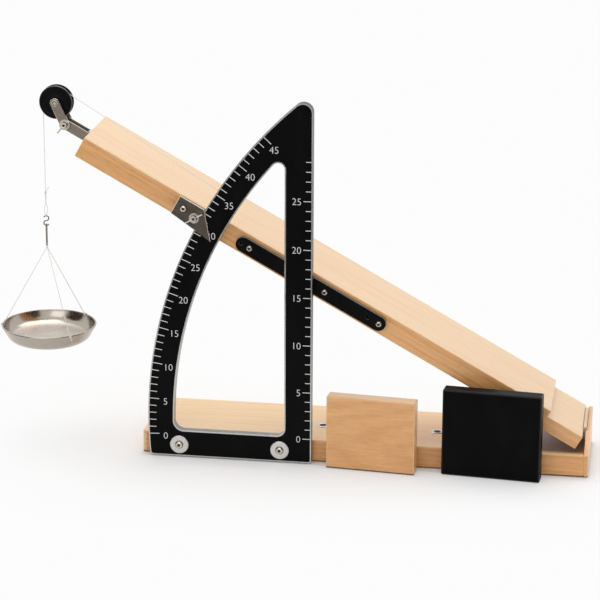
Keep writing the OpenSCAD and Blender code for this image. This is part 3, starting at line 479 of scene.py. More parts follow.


# The finishes
# Painted light on the boards: each top gets painted sheen, the base and friction block painted contact shade at their
# feet, the base a painted shadow under the hinge block
beech("beech_base", shift=(0.31, 0.02, 0.0), pith=(0.02, -0.13), top=(0, 0, BASE_TOP_Z), pale=0.8,
      sheen_tone=BASE_TOP_SHEEN, lacquer=0.5, foot=BASE_FOOT, hinge_shadow=True)
beech("beech_end", turn=(0, 0, math.pi / 2), shift=(0.1, 0.4, 0.03), pith=(0.09, -0.05))
beech("beech_plank", PLANK_TURN, (0.7, 0.11, 0.2), (-0.07, -0.37), PLANK_TOP)
beech("beech_hinge_block", PLANK_TURN, (0.2, 0.3, 0.1), (-0.28, -0.25), HINGE_BLOCK_TOP)
beech("beech_friction_block", shift=(0.5, 0.7, 0.4), pith=(-0.52, -0.42), top=(0, 0, WOOD_BLOCK_TOP_Z),
      fleck=0.25, streak=0.2, foot=BLOCK_FOOT)
# Painted highlight: a paler copy of the wood for the narrow edge faces
beech("beech_edge", shift=(0.4, 0.2, 0.6), top=(0, 0, -0.1), pale=0.3, foot=BLOCK_FOOT)
steel("plate_aluminium", (0.46, 0.455, 0.445), (0.66, 0.655, 0.64), 0.32, (900, 60, 60))
# Painted shade: darker copies of the plate's aluminium for its outer walls and its window's walls
steel("plate_wall", (0.05, 0.049, 0.048), (0.12, 0.118, 0.115), 0.36, (60, 900, 60))
steel("window_wall", (0.15, 0.145, 0.135), (0.30, 0.29, 0.275), 0.26, (60, 300, 60))
painted("scale_black", (0.002, 0.002, 0.0022), (0.0055, 0.0055, 0.0055), 0.42, 0.06)
printing("scale_print", (0.58, 0.58, 0.57), (0.78, 0.78, 0.77))
painted("bar_black", (0.0024, 0.0024, 0.0026), (0.007, 0.007, 0.007), 0.36, 0.08)
# Painted highlight: a lighter, glossy copy of the black for the side bar's sides
painted("bar_edge", (0.10, 0.098, 0.095), (0.17, 0.166, 0.16), 0.30, 0.8)
steel("pointer_steel", (0.105, 0.084, 0.066), (0.195, 0.162, 0.133), 0.38, (50, 900, 900),
      turn=PLANK_TURN)
# Painted highlight: a bright copy of the pointer steel for the edges of the pointer and the straps
steel("pointer_edge", (0.60, 0.54, 0.48), (0.86, 0.80, 0.73), 0.24, (50, 900, 900),
      turn=PLANK_TURN)
steel("strap_steel", (0.28, 0.232, 0.188), (0.375, 0.322, 0.272), 0.36, (40, 300, 300),
      height=0.0015 * MM, turn=PLANK_TURN)
steel("screw_steel", (0.67, 0.605, 0.525), (0.87, 0.805, 0.72), 0.36, (400, 400, 400))
# Painted shade: a dark copy of the steel for the sockets, the heads' rims and the axle's ring groove; the base's
# screws take it too
steel("socket_dark", (0.035, 0.03, 0.026), (0.09, 0.08, 0.07), 0.5, (400, 400, 900))
steel("washer_steel", (0.60, 0.57, 0.535), (0.78, 0.75, 0.715), 0.46, (700, 500, 700),
      height=0.02 * MM)
steel("cup_steel", (0.30, 0.29, 0.28), (0.72, 0.70, 0.68), 0.18, (400, 400, 400))
steel("hinge_steel", (0.55, 0.43, 0.30), (0.80, 0.66, 0.49), 0.42, (900, 40, 900))
steel("wire_steel", (0.34, 0.295, 0.25), (0.43, 0.38, 0.33), 0.30, (120, 120, 60))
painted("pulley_black", (0.0022, 0.0022, 0.0024), (0.006, 0.006, 0.006), 0.36, 0.10)
# Painted highlight: a lighter, glossier copy of the black for the wheel's rims
painted("pulley_rim", (0.09, 0.088, 0.086), (0.17, 0.166, 0.16), 0.28, 1.0)
steel("bush_brass", (0.50, 0.33, 0.12), (0.78, 0.58, 0.28), 0.3, (900, 60, 900))
spun_steel("pan_steel", (0.37, 0.325, 0.28), (0.50, 0.445, 0.39), 0.2)
spun_steel("pan_floor", (0.47, 0.425, 0.38), (0.60, 0.55, 0.50), 0.42)
cotton("thread_cotton", (0.684, 0.6696, 0.6408), (0.95, 0.93, 0.89))
painted("block_black", (0.002, 0.002, 0.0022), (0.006, 0.006, 0.006), 0.37, 0.05, 900.0)
# Painted highlight: a lighter copy of the black for the black block's narrow edge faces
painted("block_edge", (0.006, 0.006, 0.0063), (0.015, 0.015, 0.015), 0.32, 0.2, 900.0)

# The material slot that each piece's first finish belongs to
SLOT_FINISHES = {
    "beech": ("beech_base", "beech_end", "beech_plank", "beech_hinge_block", "beech_friction_block"),
    "scale_aluminium": ("plate_aluminium",),
    "scale_black": ("scale_black", "scale_print"),
    "black_bar": ("bar_black",),
    "dark_steel": ("pointer_steel", "strap_steel"),
    "bright_steel": ("screw_steel", "washer_steel", "cup_steel", "hinge_steel", "wire_steel", "socket_dark"),
    "pulley_black": ("pulley_black",),
    "brass": ("bush_brass",),
    "pan_steel": ("pan_steel",),
    "thread": ("thread_cotton",),
    "block_black": ("block_black",),
}
SLOT = {finish: slot for slot, finishes in SLOT_FINISHES.items() for finish in finishes}


def piece(name, bm, finish, body=None, stands_for=(), sharp=35.0, others=()):
    """Make a bmesh an object with its finishes, smooth but for its sharp edges."""
    for edge in bm.edges:
        edge.smooth = edge.calc_face_angle(math.pi) < math.radians(sharp)
    for face in bm.faces:
        face.smooth = True
    mesh = bpy.data.meshes.new(name)
    bm.to_mesh(mesh)
    bm.free()
    mesh.materials.append(FINISH[finish])
    made = bpy.data.objects.new(name, mesh)
    bpy.context.scene.collection.objects.link(made)
    if body:
        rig.ride(made, body)
    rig.slot(made, SLOT[finish])
    if stands_for:
        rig.replaces(made, *stands_for)
    for other in others:
        mesh.materials.append(FINISH[other])
    return made


def rubbed(bm):
    """Give the narrow faces along the edges the second finish, a paler copy that paints a highlight."""
    for face in bm.faces:
        face.material_index = int(face.calc_area() < max(e.calc_length() for e in face.edges) * EDGE_W)


def rubbed_sides(bm):
    """Give every face but the front and the back the second finish, a lighter copy that paints a highlight."""
    for face in bm.faces:
        face.material_index = int(abs(face.normal.y) < FRONT_FACING)


def joined_faces(bm):
    """The faces of each separate solid in a mesh."""
    left = set(bm.faces)
    while left:
        solid, reach = set(), [left.pop()]
        while reach:
            face = reach.pop()
            solid.add(face)
            fresh = {f for e in face.edges for f in e.link_faces} & left
            left -= fresh
            reach.extend(fresh)
        yield solid


def sockets(bm):
    """Give the sockets in the screws' front ends, and the heads' steep rims and walls, the second finish, a dark copy
    that paints shade.
    """
    for screw in joined_faces(bm):
        spots = [v.co for f in screw for v in f.verts]
        front = min(p.y for p in spots)
        middle = Vector([(min(p[i] for p in spots) + max(p[i] for p in spots)) / 2 for i in (0, 2)])
        for face in screw:
            at = face.calc_center_median()
            near = (Vector((at.x, at.z)) - middle).length < SOCKET_R
            sunk = front + SOCKET_LEDGE < at.y < front + SOCKET_DEPTH
            face.material_index = int(near and sunk or abs(face.normal.y) < HEAD_FACING)


def ringed(bm):
    """Turn a ring groove, in the second finish, into the two heads of the axle; that finish paints shade in the
    groove.
    """

    def along(face):
        return face.calc_center_median().y

    ends = [min(bm.faces, key=along), max(bm.faces, key=along)]
    bmesh.ops.inset_individual(bm, faces=ends, thickness=RING_IN)
    for face in bmesh.ops.inset_individual(bm, faces=ends, thickness=RING_W, depth=-RING_DEPTH)["faces"]:
        face.material_index = 1


def plate_walls(bm):
    """Keep the plate's rim bright: its outer walls get the second finish and the window's walls the third, both darker
    copies of the aluminium that paint shade.
    """
    for face in bm.faces:
        at = face.calc_center_median()
        outer = (Vector((at.x - HINGE_X, at.z - HINGE_Z)).length > PLATE_R - PLATE_SKIN
                 or at.x > PLATE_RIGHT - PLATE_SKIN or at.z < PLATE_FOOT_Z or at.z > PLATE_APEX_Z)
        facing = abs(face.normal.y)
        if facing < PLATE_FACING and outer:
            face.material_index = 1
        elif facing <= WALL_FACING:
            face.material_index = 2
        else:
            face.material_index = 0


def broken(bm, edges, width, segments):
    """Break edges by a bevel of a width."""
    bmesh.ops.bevel(bm, geom=edges, offset=width, offset_type="OFFSET", segments=segments, profile=0.5,
                    affect="EDGES", material=-1, clamp_overlap=True)


def softened(node, finish, width=0.0, segments=2, sharp=30.0, light_and_shade=None, others=(), least=0.0):
    """A solid with its edges broken as a file leaves them, and its other finishes, which paint highlights or shade,
    where the given function puts them.
    """
    solid = frame["nodes"][node]
    bm = bmesh.new()
    bm.from_mesh(solid.data)
    bmesh.ops.remove_doubles(bm, verts=bm.verts, dist=1e-6)
    bmesh.ops.dissolve_limit(bm, angle_limit=math.radians(0.5), verts=bm.verts, edges=bm.edges)
    if width:
        rims = [e for e in bm.edges
                if e.calc_face_angle(0.0) > math.radians(sharp) and e.calc_length() > least]
        broken(bm, rims, width, segments)
    if light_and_shade:
        light_and_shade(bm)
    made = piece(node + "_finished", bm, finish, solid["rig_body"], [node], sharp, others)
    even = made.modifiers.new("even_normals", "WEIGHTED_NORMAL")
    even.keep_sharp = True


def spun(profile, centre, axis, steps, close):
    """Turn a profile of (radius, height) points about an axis through centre."""
    bm = bmesh.new()
    points = [bm.verts.new((radius, 0, height)) for radius, height in profile]
    edges = [bm.edges.new(pair) for pair in zip(points, points[1:] + points[:1] if close else points[1:])]
    bmesh.ops.spin(bm, geom=points + edges, cent=(0, 0, 0), axis=UP, angle=2 * math.pi, steps=steps,
                   use_merge=True)
    bmesh.ops.remove_doubles(bm, verts=bm.verts, dist=1e-7)
    bmesh.ops.recalc_face_normals(bm, faces=bm.faces)
    turn = UP.rotation_difference(Vector(axis)).to_matrix().to_4x4()
    bmesh.ops.transform(bm, matrix=Matrix.Translation(centre) @ turn, verts=bm.verts)
    return bm


def line(start, end, count):
    """Evenly spaced points from start to end."""
    start, end = Vector(start), Vector(end)
    return [start.lerp(end, i / (count - 1)) for i in range(count)]


def length_of(path):
    """How long a path is from point to point."""
    return sum((b - a).length for a, b in zip(path, path[1:]))


def laid_along(bm, path):
    """Bend a straight form that runs up Z onto a path."""
    reach = [0.0]
    for a, b in zip(path, path[1:]):
        reach.append(reach[-1] + (b - a).length)
    along = [(b - a).normalized() for a, b in zip(path, path[1:])]
    along = [along[0]] + [(a + b).normalized() for a, b in zip(along, along[1:])] + [along[-1]]
    side = along[0].orthogonal().normalized()
    sides = [side]
    for a, b in zip(along, along[1:]):
        side = a.rotation_difference(b) @ side
        sides.append(side)
    for vert in bm.verts:
        at = min(max(vert.co.z, 0.0), reach[-1])
        i = min(max(bisect.bisect_right(reach, at) - 1, 0), len(path) - 2)
        part = (at - reach[i]) / (reach[i + 1] - reach[i])
        way = along[i].lerp(along[i + 1], part).normalized()
        across = sides[i].lerp(sides[i + 1], part)
        across = (across - way * across.dot(way)).normalized()
        vert.co = path[i].lerp(path[i + 1], part) + across * vert.co.x + way.cross(across) * vert.co.y


def twisted(path, diameter):
    """Three plies of thread twisted along a path."""
    length = length_of(path)
    turns = length / (diameter * LAY_SHARE)
    steps = max(LEAST_TWIST_STEPS, round(turns * TWIST_STEPS))
    bm = bmesh.new()
    for third in range(3):
        about = Matrix.Rotation(third * 2 * math.pi / 3, 4, "Z")
        place = about @ Matrix.Translation((diameter * PLY_OUT_SHARE, 0, 0))
        bmesh.ops.create_circle(bm, segments=PLY_SIDES, radius=diameter * PLY_R_SHARE, matrix=place)
    bmesh.ops.spin(bm, geom=bm.verts[:] + bm.edges[:], cent=(0, 0, 0), axis=UP, dvec=(0, 0, length / steps),
                   angle=2 * math.pi * turns, steps=steps)
    bmesh.ops.holes_fill(bm, edges=[e for e in bm.edges if e.is_boundary], sides=0)
    bmesh.ops.recalc_face_normals(bm, faces=bm.faces)
    laid_along(bm, path)
    return bm


def coil(centre, way, radius, turns, pitch):
    """Points of a helix about a line through centre."""
    way = Vector(way).normalized()
    side = way.orthogonal().normalized()
    other = way.cross(side)
    steps = round(turns * COIL_STEPS)
    points = []
    for i in range(steps + 1):
        angle = 2 * math.pi * turns * i / steps
        out = side * math.cos(angle) + other * math.sin(angle)
        points.append(Vector(centre) + way * (pitch * turns * (i / steps - 0.5)) + out * radius)
    return points


def bight(knot, bend, half_w, across, twist=0.0):
    """Points of a loop from a knot, round something at bend and back, its strands turned by twist."""
    knot, bend = Vector(knot), Vector(bend)
    down = (bend - knot).normalized()
    across = Vector(across).normalized()
    straight = (bend - knot).length - half_w
    strand = []
    for i in range(LOOP_POINTS):
        t = i / (LOOP_POINTS - 1)
        turned = Matrix.Rotation(twist * (1 - t), 3, down) @ across
        wide = half_w * (LOOP_PINCH + (1 - LOOP_PINCH) * math.sin(t * math.pi / 2) ** LOOP_SWELL)
        strand.append((knot + down * straight * t, turned * wide))
    out = [p + w for p, w in strand]
    back = [p - w for p, w in reversed(strand)]
    turns = [math.pi * k / LOOP_END_STEPS for k in range(1, LOOP_END_STEPS)]
    round_end = [strand[-1][0] + across * half_w * math.cos(a) + down * half_w * math.sin(a) for a in turns]
    return out + round_end + back


def photograph_camera():
    """The camera of the photograph: in front, a little to the right and above."""
    flat = math.cos(ELEVATION)
    back = Vector((math.sin(AZIMUTH) * flat, -math.cos(AZIMUTH) * flat, math.sin(ELEVATION)))
    level = Vector((math.cos(AZIMUTH), math.sin(AZIMUTH), 0))
    upright = back.cross(level)
    right = level * math.cos(ROLL) + upright * math.sin(ROLL)
    up = upright * math.cos(ROLL) - level * math.sin(ROLL)
    lens = bpy.data.cameras.new("camera")
    lens.sensor_width, lens.lens = SENSOR_W, FOCAL_L
    camera = bpy.data.objects.new("camera", lens)
    place = Matrix.Translation(CAMERA_AIM + back * CAMERA_DISTANCE)
    camera.matrix_world = place @ Matrix((right, up, back)).transposed().to_4x4()
    bpy.context.scene.collection.objects.link(camera)
    bpy.context.scene.camera = camera


photograph_camera()

# Thread from the anchor eye to the wheel: it turns with the arm only near the arm's pivot
to_axle = AXLE - EYE
lift = math.asin(WRAP_R / to_axle.length)
run_way = Matrix.Rotation(lift, 3, "Y") @ to_axle.normalized()
tangent = EYE + run_way * math.sqrt(to_axle.length_squared - WRAP_R ** 2)
run_start = EYE + run_way * (EYE_RING_R + EYE_WIRE_R + EYE_GAP)
run_path = line(run_start, tangent, RUN_POINTS)
run = piece("thread_run_line", twisted(run_path, THREAD_D), "thread_cotton", stands_for=["thread_run"])
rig.blend(run, "plane", "pulley_arm", ARM_BEND_FROM, ARM_BEND_TO)
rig.cord(run, run_start, length_of(run_path), THREAD_D, "object", "limp", "taut", run_path)

# Thread in the groove: from the run's end over the wheel to the hanging stretch
lead = tangent - AXLE
first = math.atan2(lead.z, lead.x)
wrap_path = [AXLE + Vector((math.cos(a), 0, math.sin(a))) * WRAP_R
             for a in (first + (math.pi - first) * i / WRAP_STEPS for i in range(WRAP_STEPS + 1))]
wrap = piece("thread_wrap_line", twisted(wrap_path, THREAD_D), "thread_cotton", stands_for=["thread_wrap"])
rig.blend(wrap, "pulley_arm", "hanger", wrap_path[0], Vector((wrap_path[-1].x, 0, wrap_path[0].z)))

# Hanging thread
drop_path = line((THREAD_X, 0, AXLE.z), (THREAD_X, 0, KNOT_Z), DROP_POINTS)
drop = piece("thread_drop_line", twisted(drop_path, THREAD_D), "thread_cotton", "hanger", ["thread_drop"])
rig.cord(drop, drop_path[0], length_of(drop_path), THREAD_D, "object", "limp", "taut", drop_path)

# The pan's three threads, from the link down to the rim, with their ties and loose ends
sling_top = Vector((THREAD_X, 0, SLING_Z))
for side, angle in SLING_ANGLES.items():
    out = Vector((math.cos(math.radians(angle)), math.sin(math.radians(angle)), 0))
    foot = PAN_MIDDLE + out * (PAN_R - SLING_FOOT_IN) + Vector((0, 0, SLING_FOOT_UP))
    sling_path = line(sling_top, foot, DROP_POINTS)
    sling = piece("sling_" + side, twisted(sling_path, SLING_D), "thread_cotton", "weight_pan",
                  ["pan_threads"])
    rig.cord(sling, sling_top, length_of(sling_path), SLING_D, "object", "limp", "taut", sling_path)
    bead = PAN_MIDDLE + out * PAN_R
    tie_r = PAN_BEAD_R + SLING_D * RIM_TIE_OUT_SHARE
    tie = coil(bead, UP.cross(out), tie_r, RIM_TIE_TURNS, SLING_D * RIM_TIE_PITCH_SHARE)
    piece("rim_tie_" + side, twisted(tie, SLING_D), "thread_cotton", "weight_pan")
    loose_end = [bead + out * (RIM_END_OUT + RIM_END_L * t) - UP * (RIM_END_DROP + RIM_END_DROOP * t * t)
                 for t in (0, 0.25, 0.5, 0.75, 1)]
    piece("rim_tail_" + side, twisted(loose_end, SLING_D), "thread_cotton", "weight_pan")

# The hanging thread's knot: its loop over the hook, turns round the standing thread, and a loose end
knot = Vector((THREAD_X, 0, KNOT_Z))
hook_loop = bight(knot, (THREAD_X, 0, LOOP_LOW_Z), LOOP_HALF_W, (0, 1, 0), LOOP_TWIST)
piece("thread_loop", twisted(hook_loop, THREAD_D), "thread_cotton", "hanger")
knot_turns = coil(knot, UP, KNOT_R, KNOT_TURNS, KNOT_PITCH)
piece("thread_knot", twisted(knot_turns, THREAD_D), "thread_cotton", "hanger")
loose_end = [knot + KNOT_END + Vector((KNOT_END_OUT * t, 0, KNOT_END_UP * t - KNOT_END_DROOP * t * t))
             for t in (0, 0.2, 0.4, 0.6, 0.8, 1)]
piece("thread_loose_end", twisted(loose_end, THREAD_D), "thread_cotton", "hanger")

# The knot of the pan's threads in the link
link_loop = bight(sling_top, (THREAD_X, 0, LINK_LOW_Z + LINK_GAP), SMALL_LOOP_HALF_W, (1, 0, 0))
piece("sling_loop", twisted(link_loop, SLING_D), "thread_cotton", "weight_pan")
knot_turns = coil(sling_top, UP, SLING_KNOT_R, KNOT_TURNS, SLING_KNOT_PITCH)
piece("sling_knot", twisted(knot_turns, SLING_D), "thread_cotton", "weight_pan")

# The run's knot at the anchor eye
eye_knot = EYE + run_way * EYE_KNOT_OUT
eye_bend = EYE + run_way * (EYE_RING_R - EYE_WIRE_R - THREAD_D * EYE_BEND_SHARE)
eye_loop = bight(eye_knot, eye_bend, SMALL_LOOP_HALF_W, (0, 1, 0))
piece("eye_loop", twisted(eye_loop, THREAD_D), "thread_cotton", "plane")
knot_turns = coil(eye_knot, run_way, KNOT_R, KNOT_TURNS, KNOT_PITCH)
piece("eye_knot", twisted(knot_turns, THREAD_D), "thread_cotton", "plane")

# Boards and blocks
# The narrow edge faces of the boards and the black block take lighter finishes: painted highlights
for board, finish in (("base_board", "beech_base"), ("end_plate", "beech_end"), ("plank", "beech_plank"),
                      ("hinge_block", "beech_hinge_block"), ("wood_block", "beech_friction_block")):
    softened(board, finish, BOARD_BREAK, light_and_shade=rubbed, others=["beech_edge"])
softened("black_block", "block_black", BOARD_BREAK, light_and_shade=rubbed, others=["block_edge"])

# Scale plate and its printed face
# The plate's walls take darker finishes: painted shade
softened("scale_plate", "plate_aluminium", PLATE_BREAK, light_and_shade=plate_walls, others=["plate_wall", "window_wall"])
softened("scale_face", "scale_black", FACE_BREAK)


def scale_printing():
    """Degree lines and numbers along the arc, centimetre lines and numbers up the right arm."""
    bm = bmesh.new()
    facing = Matrix.Translation((0, FACE_Y, 0)) @ Matrix.Rotation(math.pi / 2, 4, "X")

    def stroke(x, z, turn, length):
        place = facing @ Matrix.Translation((x, z, 0)) @ Matrix.Rotation(turn, 4, "Z")
        box = Matrix.Translation((length / 2, 0, 0)) @ Matrix.Diagonal((length, LINE_W, LINE_T, 1))
        bmesh.ops.create_cube(bm, size=1, matrix=place @ box)

    def number(value, x, z, align):
        words = bpy.data.curves.new("number", "FONT")
        words.body, words.size = str(value), NUMBER_H / FIGURE_SHARE
        words.align_x, words.align_y = align, "CENTER"
        words.extrude, words.resolution_u, words.offset = NUMBER_T / 2, 4, -NUMBER_THINNING
        text = bpy.data.objects.new("number", words)
        bpy.context.scene.collection.objects.link(text)
        bpy.context.view_layer.update()
        mesh = bpy.data.meshes.new_from_object(text.evaluated_get(bpy.context.evaluated_depsgraph_get()))
        mesh.transform(facing @ Matrix.Translation((x, z, 0)) @ Matrix.Diagonal((NUMBER_SQUEEZE, 1, 1, 1)))
        bm.from_mesh(mesh)
        bpy.data.objects.remove(text)
        bpy.data.curves.remove(words)
        bpy.data.meshes.remove(mesh)

    def on_arc(radius, degree):
        a = math.radians(degree - ZERO_DROP)
        return HINGE_X - radius * math.cos(a), HINGE_Z + radius * math.sin(a)

    for degree in range(LAST_DEGREE + 1):
        numbered = degree % NUMBER_STEP == 0
        turn = -math.radians(degree - ZERO_DROP)
        stroke(*on_arc(PLATE_R - RIM_W, degree), turn, DEGREE_LONG_LINE if numbered else DEGREE_LINE)
        if numbered:
            number(degree, *on_arc(DEGREE_NUMBER_R, degree - NUMBER_LAG), "CENTER")
    right = PLATE_RIGHT - RIM_W
    for centimetre in range(LAST_CENTIMETRE + 1):
        numbered = centimetre % NUMBER_STEP == 0
        z = CENTIMETRE_ZERO_Z + centimetre * CENTIMETRE
        stroke(right, z, math.pi, CENTIMETRE_LONG_LINE if numbered else CENTIMETRE_LINE)
        if numbered:
            number(centimetre, right - CENTIMETRE_NUMBER_IN, z - CENTIMETRE_NUMBER_DROP, "RIGHT")
    bmesh.ops.remove_doubles(bm, verts=bm.verts, dist=1e-7)
    return bm


piece("scale_numbers", scale_printing(), "scale_print", "base", sharp=20.0)

# Fittings
# The side bar's sides and the edges of the pointer and straps take lighter finishes: painted highlights
softened("side_bar", "bar_black", BAR_BREAK, 3, light_and_shade=rubbed_sides, others=["bar_edge"])
softened("pointer", "pointer_steel", POINTER_BREAK, 1, light_and_shade=rubbed_sides, others=["pointer_edge"],
         least=POINTER_LEAST_EDGE)
softened("clamp_block", "strap_steel", CLAMP_BREAK)
for strap in ("fork_bracket", "arm_front", "arm_rear"):
    softened(strap, "strap_steel", STRAP_BREAK, 1, light_and_shade=rubbed_sides, others=["pointer_edge"])
for washer in ("clamp_washer", "pivot_washer", "axle_washers"):
    softened(washer, "screw_steel", SCREW_BREAK)
softened("scale_washers", "washer_steel", SCREW_BREAK)
softened("cup_washers", "cup_steel", SCREW_BREAK)
softened("base_screws", "socket_dark", SCREW_BREAK)
# The screws' sockets and steep head rims and the axle's ring groove take a dark finish: painted shade
for screw in ("scale_screws", "side_bar_screws", "pointer_screw"):
    softened(screw, "screw_steel", SCREW_BREAK, light_and_shade=sockets, others=["socket_dark"])
for screw in ("clamp_screw", "pivot_screw"):
    softened(screw, "screw_steel", CLAMP_SCREW_BREAK, light_and_shade=sockets, others=["socket_dark"],
             least=CLAMP_SCREW_LEAST_EDGE)
softened("axle", "screw_steel", SCREW_BREAK, light_and_shade=ringed, others=["socket_dark"])
for fitting in ("fork_screws", "pivot_nut", "clamp_tommy_bar", "pivot_tommy_bar"):
    softened(fitting, "screw_steel", SCREW_BREAK)
for screw in ("end_plate_screws", "hinge_base_screws", "hinge_plane_screws", "lap_screws"):
    softened(screw, "screw_steel")
for leaf in ("hinge_base_leaf", "hinge_plane_leaf", "hinge_pin"):
    softened(leaf, "hinge_steel", LEAF_BREAK)
for wire in ("s_hook", "pan_link", "anchor_eye"):
    softened(wire, "wire_steel", sharp=60.0)
softened("pulley_bush", "bush_brass", BUSH_BREAK)

# Black discs in the side bar's two spare holes: painted shade where the holes show dark
for end, out in BAR_HOLES.items():
    shade_profile = [(0, BAR_HOLE_BACK), (BAR_HOLE_R, BAR_HOLE_BACK),
              (BAR_HOLE_R, BAR_HOLE_FRONT - BAR_HOLE_CHAMFER_DOWN),
              (BAR_HOLE_R - BAR_HOLE_CHAMFER_IN, BAR_HOLE_FRONT), (0, BAR_HOLE_FRONT)]
    place = on_plank(out, -BAR_HOLE_DROP, BAR_HOLE_Y)
    bm = spun(shade_profile, place, (0, -1, 0), BAR_HOLE_FACETS, close=False)
    piece("bar_hole_bottom_" + end, bm, "bar_black", "plane")


def pulley_wheel():
    """Grooved wheel with a hub, a dished face and chamfered lips, its rims in the second finish, a lighter copy that
    paints a highlight.
    """
    half = WHEEL_T / 2
    side = [(WHEEL_BORE_R, half), (WHEEL_HUB_R, half), (WHEEL_HUB_R + WHEEL_DRAFT, half - WHEEL_DISH),
            (WHEEL_LIP_R - WHEEL_DRAFT, half - WHEEL_DISH), (WHEEL_LIP_R, half),
            (WHEEL_R - WHEEL_CHAMFER, half), (WHEEL_R, half - WHEEL_CHAMFER),
            (WHEEL_R, half - 2 * WHEEL_CHAMFER), (GROOVE_R, GROOVE_HALF_W)]
    bm = spun(side + [(r, -z) for r, z in reversed(side)], AXLE, (0, -1, 0), WHEEL_FACETS, close=True)
    broken(bm, [e for e in bm.edges if e.calc_face_angle(0.0) > WHEEL_LEAST_FOLD], WHEEL_BREAK, 2)
    # Painted highlight: the rim faces take the lighter finish
    for face in bm.faces:
        rim = (face.calc_center_median() - AXLE).length > WHEEL_RIM_R
        face.material_index = int(rim and abs(face.normal.y) < FRONT_FACING)
    return bm


piece("pulley_turned", pulley_wheel(), "pulley_black", "pulley", ["pulley_wheel"], sharp=50.0,
      others=["pulley_rim"])


def weight_pan():
    """Spun pan with a flared wall and a beaded rim, its floor in the second finish."""
    rise = PAN_DEPTH - PAN_BEND_R * (1 - math.cos(PAN_FLARE))
    floor_r = PAN_R - PAN_BEND_R * math.sin(PAN_FLARE) - rise / math.tan(PAN_FLARE)
    way = Vector((math.cos(PAN_FLARE), math.sin(PAN_FLARE)))

    def curve(r):
        turns = [PAN_FLARE * i / PAN_CURVE_STEPS for i in range(PAN_CURVE_STEPS + 1)]
        return [(floor_r + r * math.sin(a), PAN_BEND_R - r * math.cos(a)) for a in turns]

    def inside(r, z):
        """A point of the inside, whose floor is raised, so that it is shallower than the outside."""
        return r, max(z, PAN_WALL) + PAN_FLOOR_RISE * max(0.0, 1 - z / PAN_DEPTH) ** PAN_FLOOR_BLEND

    top = Vector(curve(PAN_BEND_R)[-1]) + way * rise / math.sin(PAN_FLARE)
    start = math.atan2(-way.y, -way.x) + PAN_BEAD_FROM
    round_bead = [start + PAN_BEAD_SWEEP * i / PAN_BEAD_STEPS for i in range(PAN_BEAD_STEPS + 1)]
    rim = [(top.x + PAN_BEAD_R * math.cos(a), top.y + PAN_BEAD_R * math.sin(a)) for a in round_bead]
    outline = [(0, 0), (floor_r * 0.5, 0)] + curve(PAN_BEND_R) + rim
    outline += [inside(r, z) for r, z in reversed(curve(PAN_BEND_R - PAN_WALL))]
    outline += [inside(floor_r * 0.5, PAN_WALL), inside(0, PAN_WALL)]
    bm = spun(outline, PAN_MIDDLE - Vector((0, 0, PAN_DEPTH)), UP, PAN_FACETS, close=False)
    for face in bm.faces:
        low = face.calc_center_median().z < RIM_Z - PAN_FLOOR_DROP
        face.material_index = int(face.normal.z > PAN_FLOOR_FACING and low)
    return bm


piece("pan_spun", weight_pan(), "pan_steel", "weight_pan", ["pan"], sharp=60.0, others=["pan_floor"])

# The studio: plain light, a white floor, and dark cards that only reflections show
AIR_LIGHT, FLOOR_Z, FLOOR_HALF_W = 0.70, -0.3 * MM, 9.0
FOOTPRINT_MIDDLE, FOOTPRINT_HALF, SHADE_REACH = (0.003, -0.0042), (0.229, 0.0562), 0.2
SHADE_STOPS = ((0.0, 0.0), (0.005, 0.25), (0.04, 0.32), (0.5, 0.77), (1.0, 1.0))
FLOOR_CARD_PLACE, FLOOR_CARD_SIZE = (-0.1, -0.92, 1 * MM), (2.6, 0.84)
LEFT_WALL_X, RIGHT_WALL_X, WALL_Y, WALL_Z, WALL_SIZE = -2.7, 2.2, -1.7, 1.6, (3.1, 3.0)


def stand(name, bm, material):
    """Make a bmesh a part of the studio."""
    mesh = bpy.data.meshes.new(name)
    bm.to_mesh(mesh)
    bm.free()
    mesh.materials.append(material)
    made = bpy.data.objects.new(name, mesh)
    bpy.context.scene.collection.objects.link(made)
    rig.stage(made)
    return made


def white_air():
    """White air that is seen brighter than it lights."""
    world = bpy.data.worlds.new("studio")
    world.use_nodes = True
    bpy.context.scene.world = world
    air = Socket(world.node_tree)
    seen = air.node("LightPath", take="Is Camera Ray") + air.node("LightPath", take="Is Glossy Ray")
    seen = air.maths("MINIMUM", seen + air.node("LightPath", take="Is Transmission Ray"), 1.0)
    ground = world.node_tree.nodes["Background"]
    ground.inputs["Color"].default_value = (1, 1, 1, 1)
    world.node_tree.links.new((seen * (1 - AIR_LIGHT) + AIR_LIGHT).out, ground.inputs["Strength"])


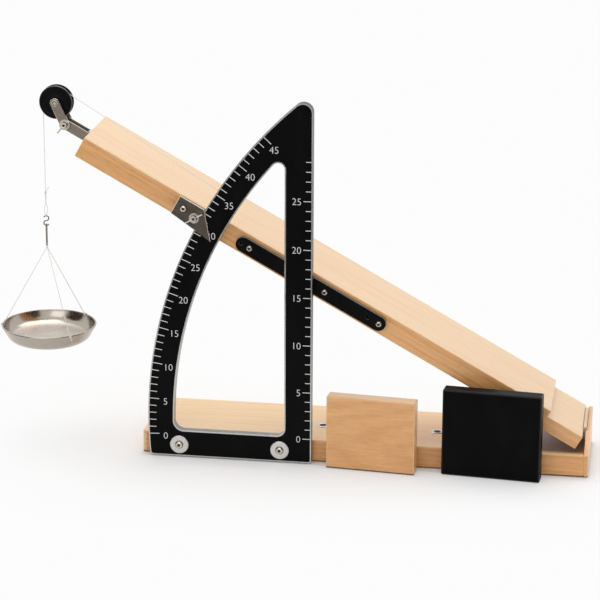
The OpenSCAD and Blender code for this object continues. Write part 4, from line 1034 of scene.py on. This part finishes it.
def white_floor():
    """Matte floor that keeps the object's shadow close to it and fades to white away from it."""
    paper = bpy.data.materials.new("floor_paper")
    paper.use_nodes = True
    tree = paper.node_tree
    tree.nodes.remove(tree.nodes["Principled BSDF"])
    here = Socket(tree).node("TexCoord", take="Object")
    x, y = FOOTPRINT_MIDDLE
    beside = here.vector_maths("ABSOLUTE", here.mapped(shift=(-x, -y, 0)))
    beside = here.vector_maths("SUBTRACT", beside, (*FOOTPRINT_HALF, 0))
    beside = here.vector_maths("MAXIMUM", beside, (0, 0, 0))
    away = here.vector_maths("LENGTH", beside, take="Value")
    far = (away * (1 / SHADE_REACH)).ramp(*SHADE_STOPS)
    view = here.node("LightPath", take="Is Camera Ray") + here.node("LightPath", take="Is Glossy Ray")
    grey = here.noise(30.0, 2.0, 0.5).tint((0.93, 0.93, 0.93), (0.95, 0.95, 0.95))
    matte = here.node("BsdfDiffuse", None, {"Color": grey}, "BSDF")
    glow = here.node("Emission", None, {"Color": (0.98, 0.98, 0.98, 1), "Strength": 1.0}, "Emission")
    white = here.maths("MINIMUM", far * view, 1.0)
    sweep = here.node("MixShader", None, {0: white, 1: matte, 2: glow}, "Shader")
    tree.links.new(sweep.out, tree.nodes["Material Output"].inputs["Surface"])
    bm = bmesh.new()
    bmesh.ops.create_grid(bm, x_segments=1, y_segments=1, size=FLOOR_HALF_W,
                          matrix=Matrix.Translation((0, 0, FLOOR_Z)))
    stand("floor", bm, paper)


def dark_room():
    """A dark card on the floor in front, and a dark wall at each side."""
    drape, shader, fold = blank("dark_drape", Roughness=0.9, Specular_IOR_Level=0.1)
    feed(drape, shader, Base_Color=fold.noise(4.0, 2.0, 0.5).tint((0.03, 0.026, 0.022), (0.08, 0.07, 0.06)))
    bm = bmesh.new()

    def card(place, turn, size):
        matrix = Matrix.Translation(place) @ Matrix.Rotation(turn, 4, "Y") @ Matrix.Diagonal((*size, 1, 1))
        bmesh.ops.create_grid(bm, x_segments=1, y_segments=1, size=0.5, matrix=matrix)

    card(FLOOR_CARD_PLACE, 0.0, FLOOR_CARD_SIZE)
    card((LEFT_WALL_X, WALL_Y, WALL_Z), math.pi / 2, WALL_SIZE)
    card((RIGHT_WALL_X, WALL_Y, WALL_Z), -math.pi / 2, WALL_SIZE)
    room = stand("dark_room", bm, drape)
    room.visible_camera = room.visible_diffuse = room.visible_shadow = room.visible_transmission = False


def softbox(name, place, aim, size, power):
    """A square lamp at a place, turned towards its aim."""
    lamp = bpy.data.lights.new(name, "AREA")
    lamp.shape, lamp.size, lamp.energy = "SQUARE", size, power
    box = bpy.data.objects.new(name, lamp)
    way = Vector(aim) - Vector(place)
    box.matrix_world = Matrix.Translation(place) @ way.to_track_quat("-Z", "Y").to_matrix().to_4x4()
    bpy.context.scene.collection.objects.link(box)


white_air()
white_floor()
dark_room()
softbox("overhead_softbox", place=(-0.1, 0.55, 1.9), aim=(0, 0, 0.1), size=1.7, power=17.0)
softbox("front_fill", place=(-0.7, -2.2, 1.3), aim=(0, 0, 0.15), size=1.4, power=7.0)
bpy.context.scene.view_settings.view_transform = "Standard"

with open("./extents.json", "w") as out:
    json.dump({"cad": [list(corner) for corner in cad_box], "visual": [list(corner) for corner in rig.bounds()]}, out)
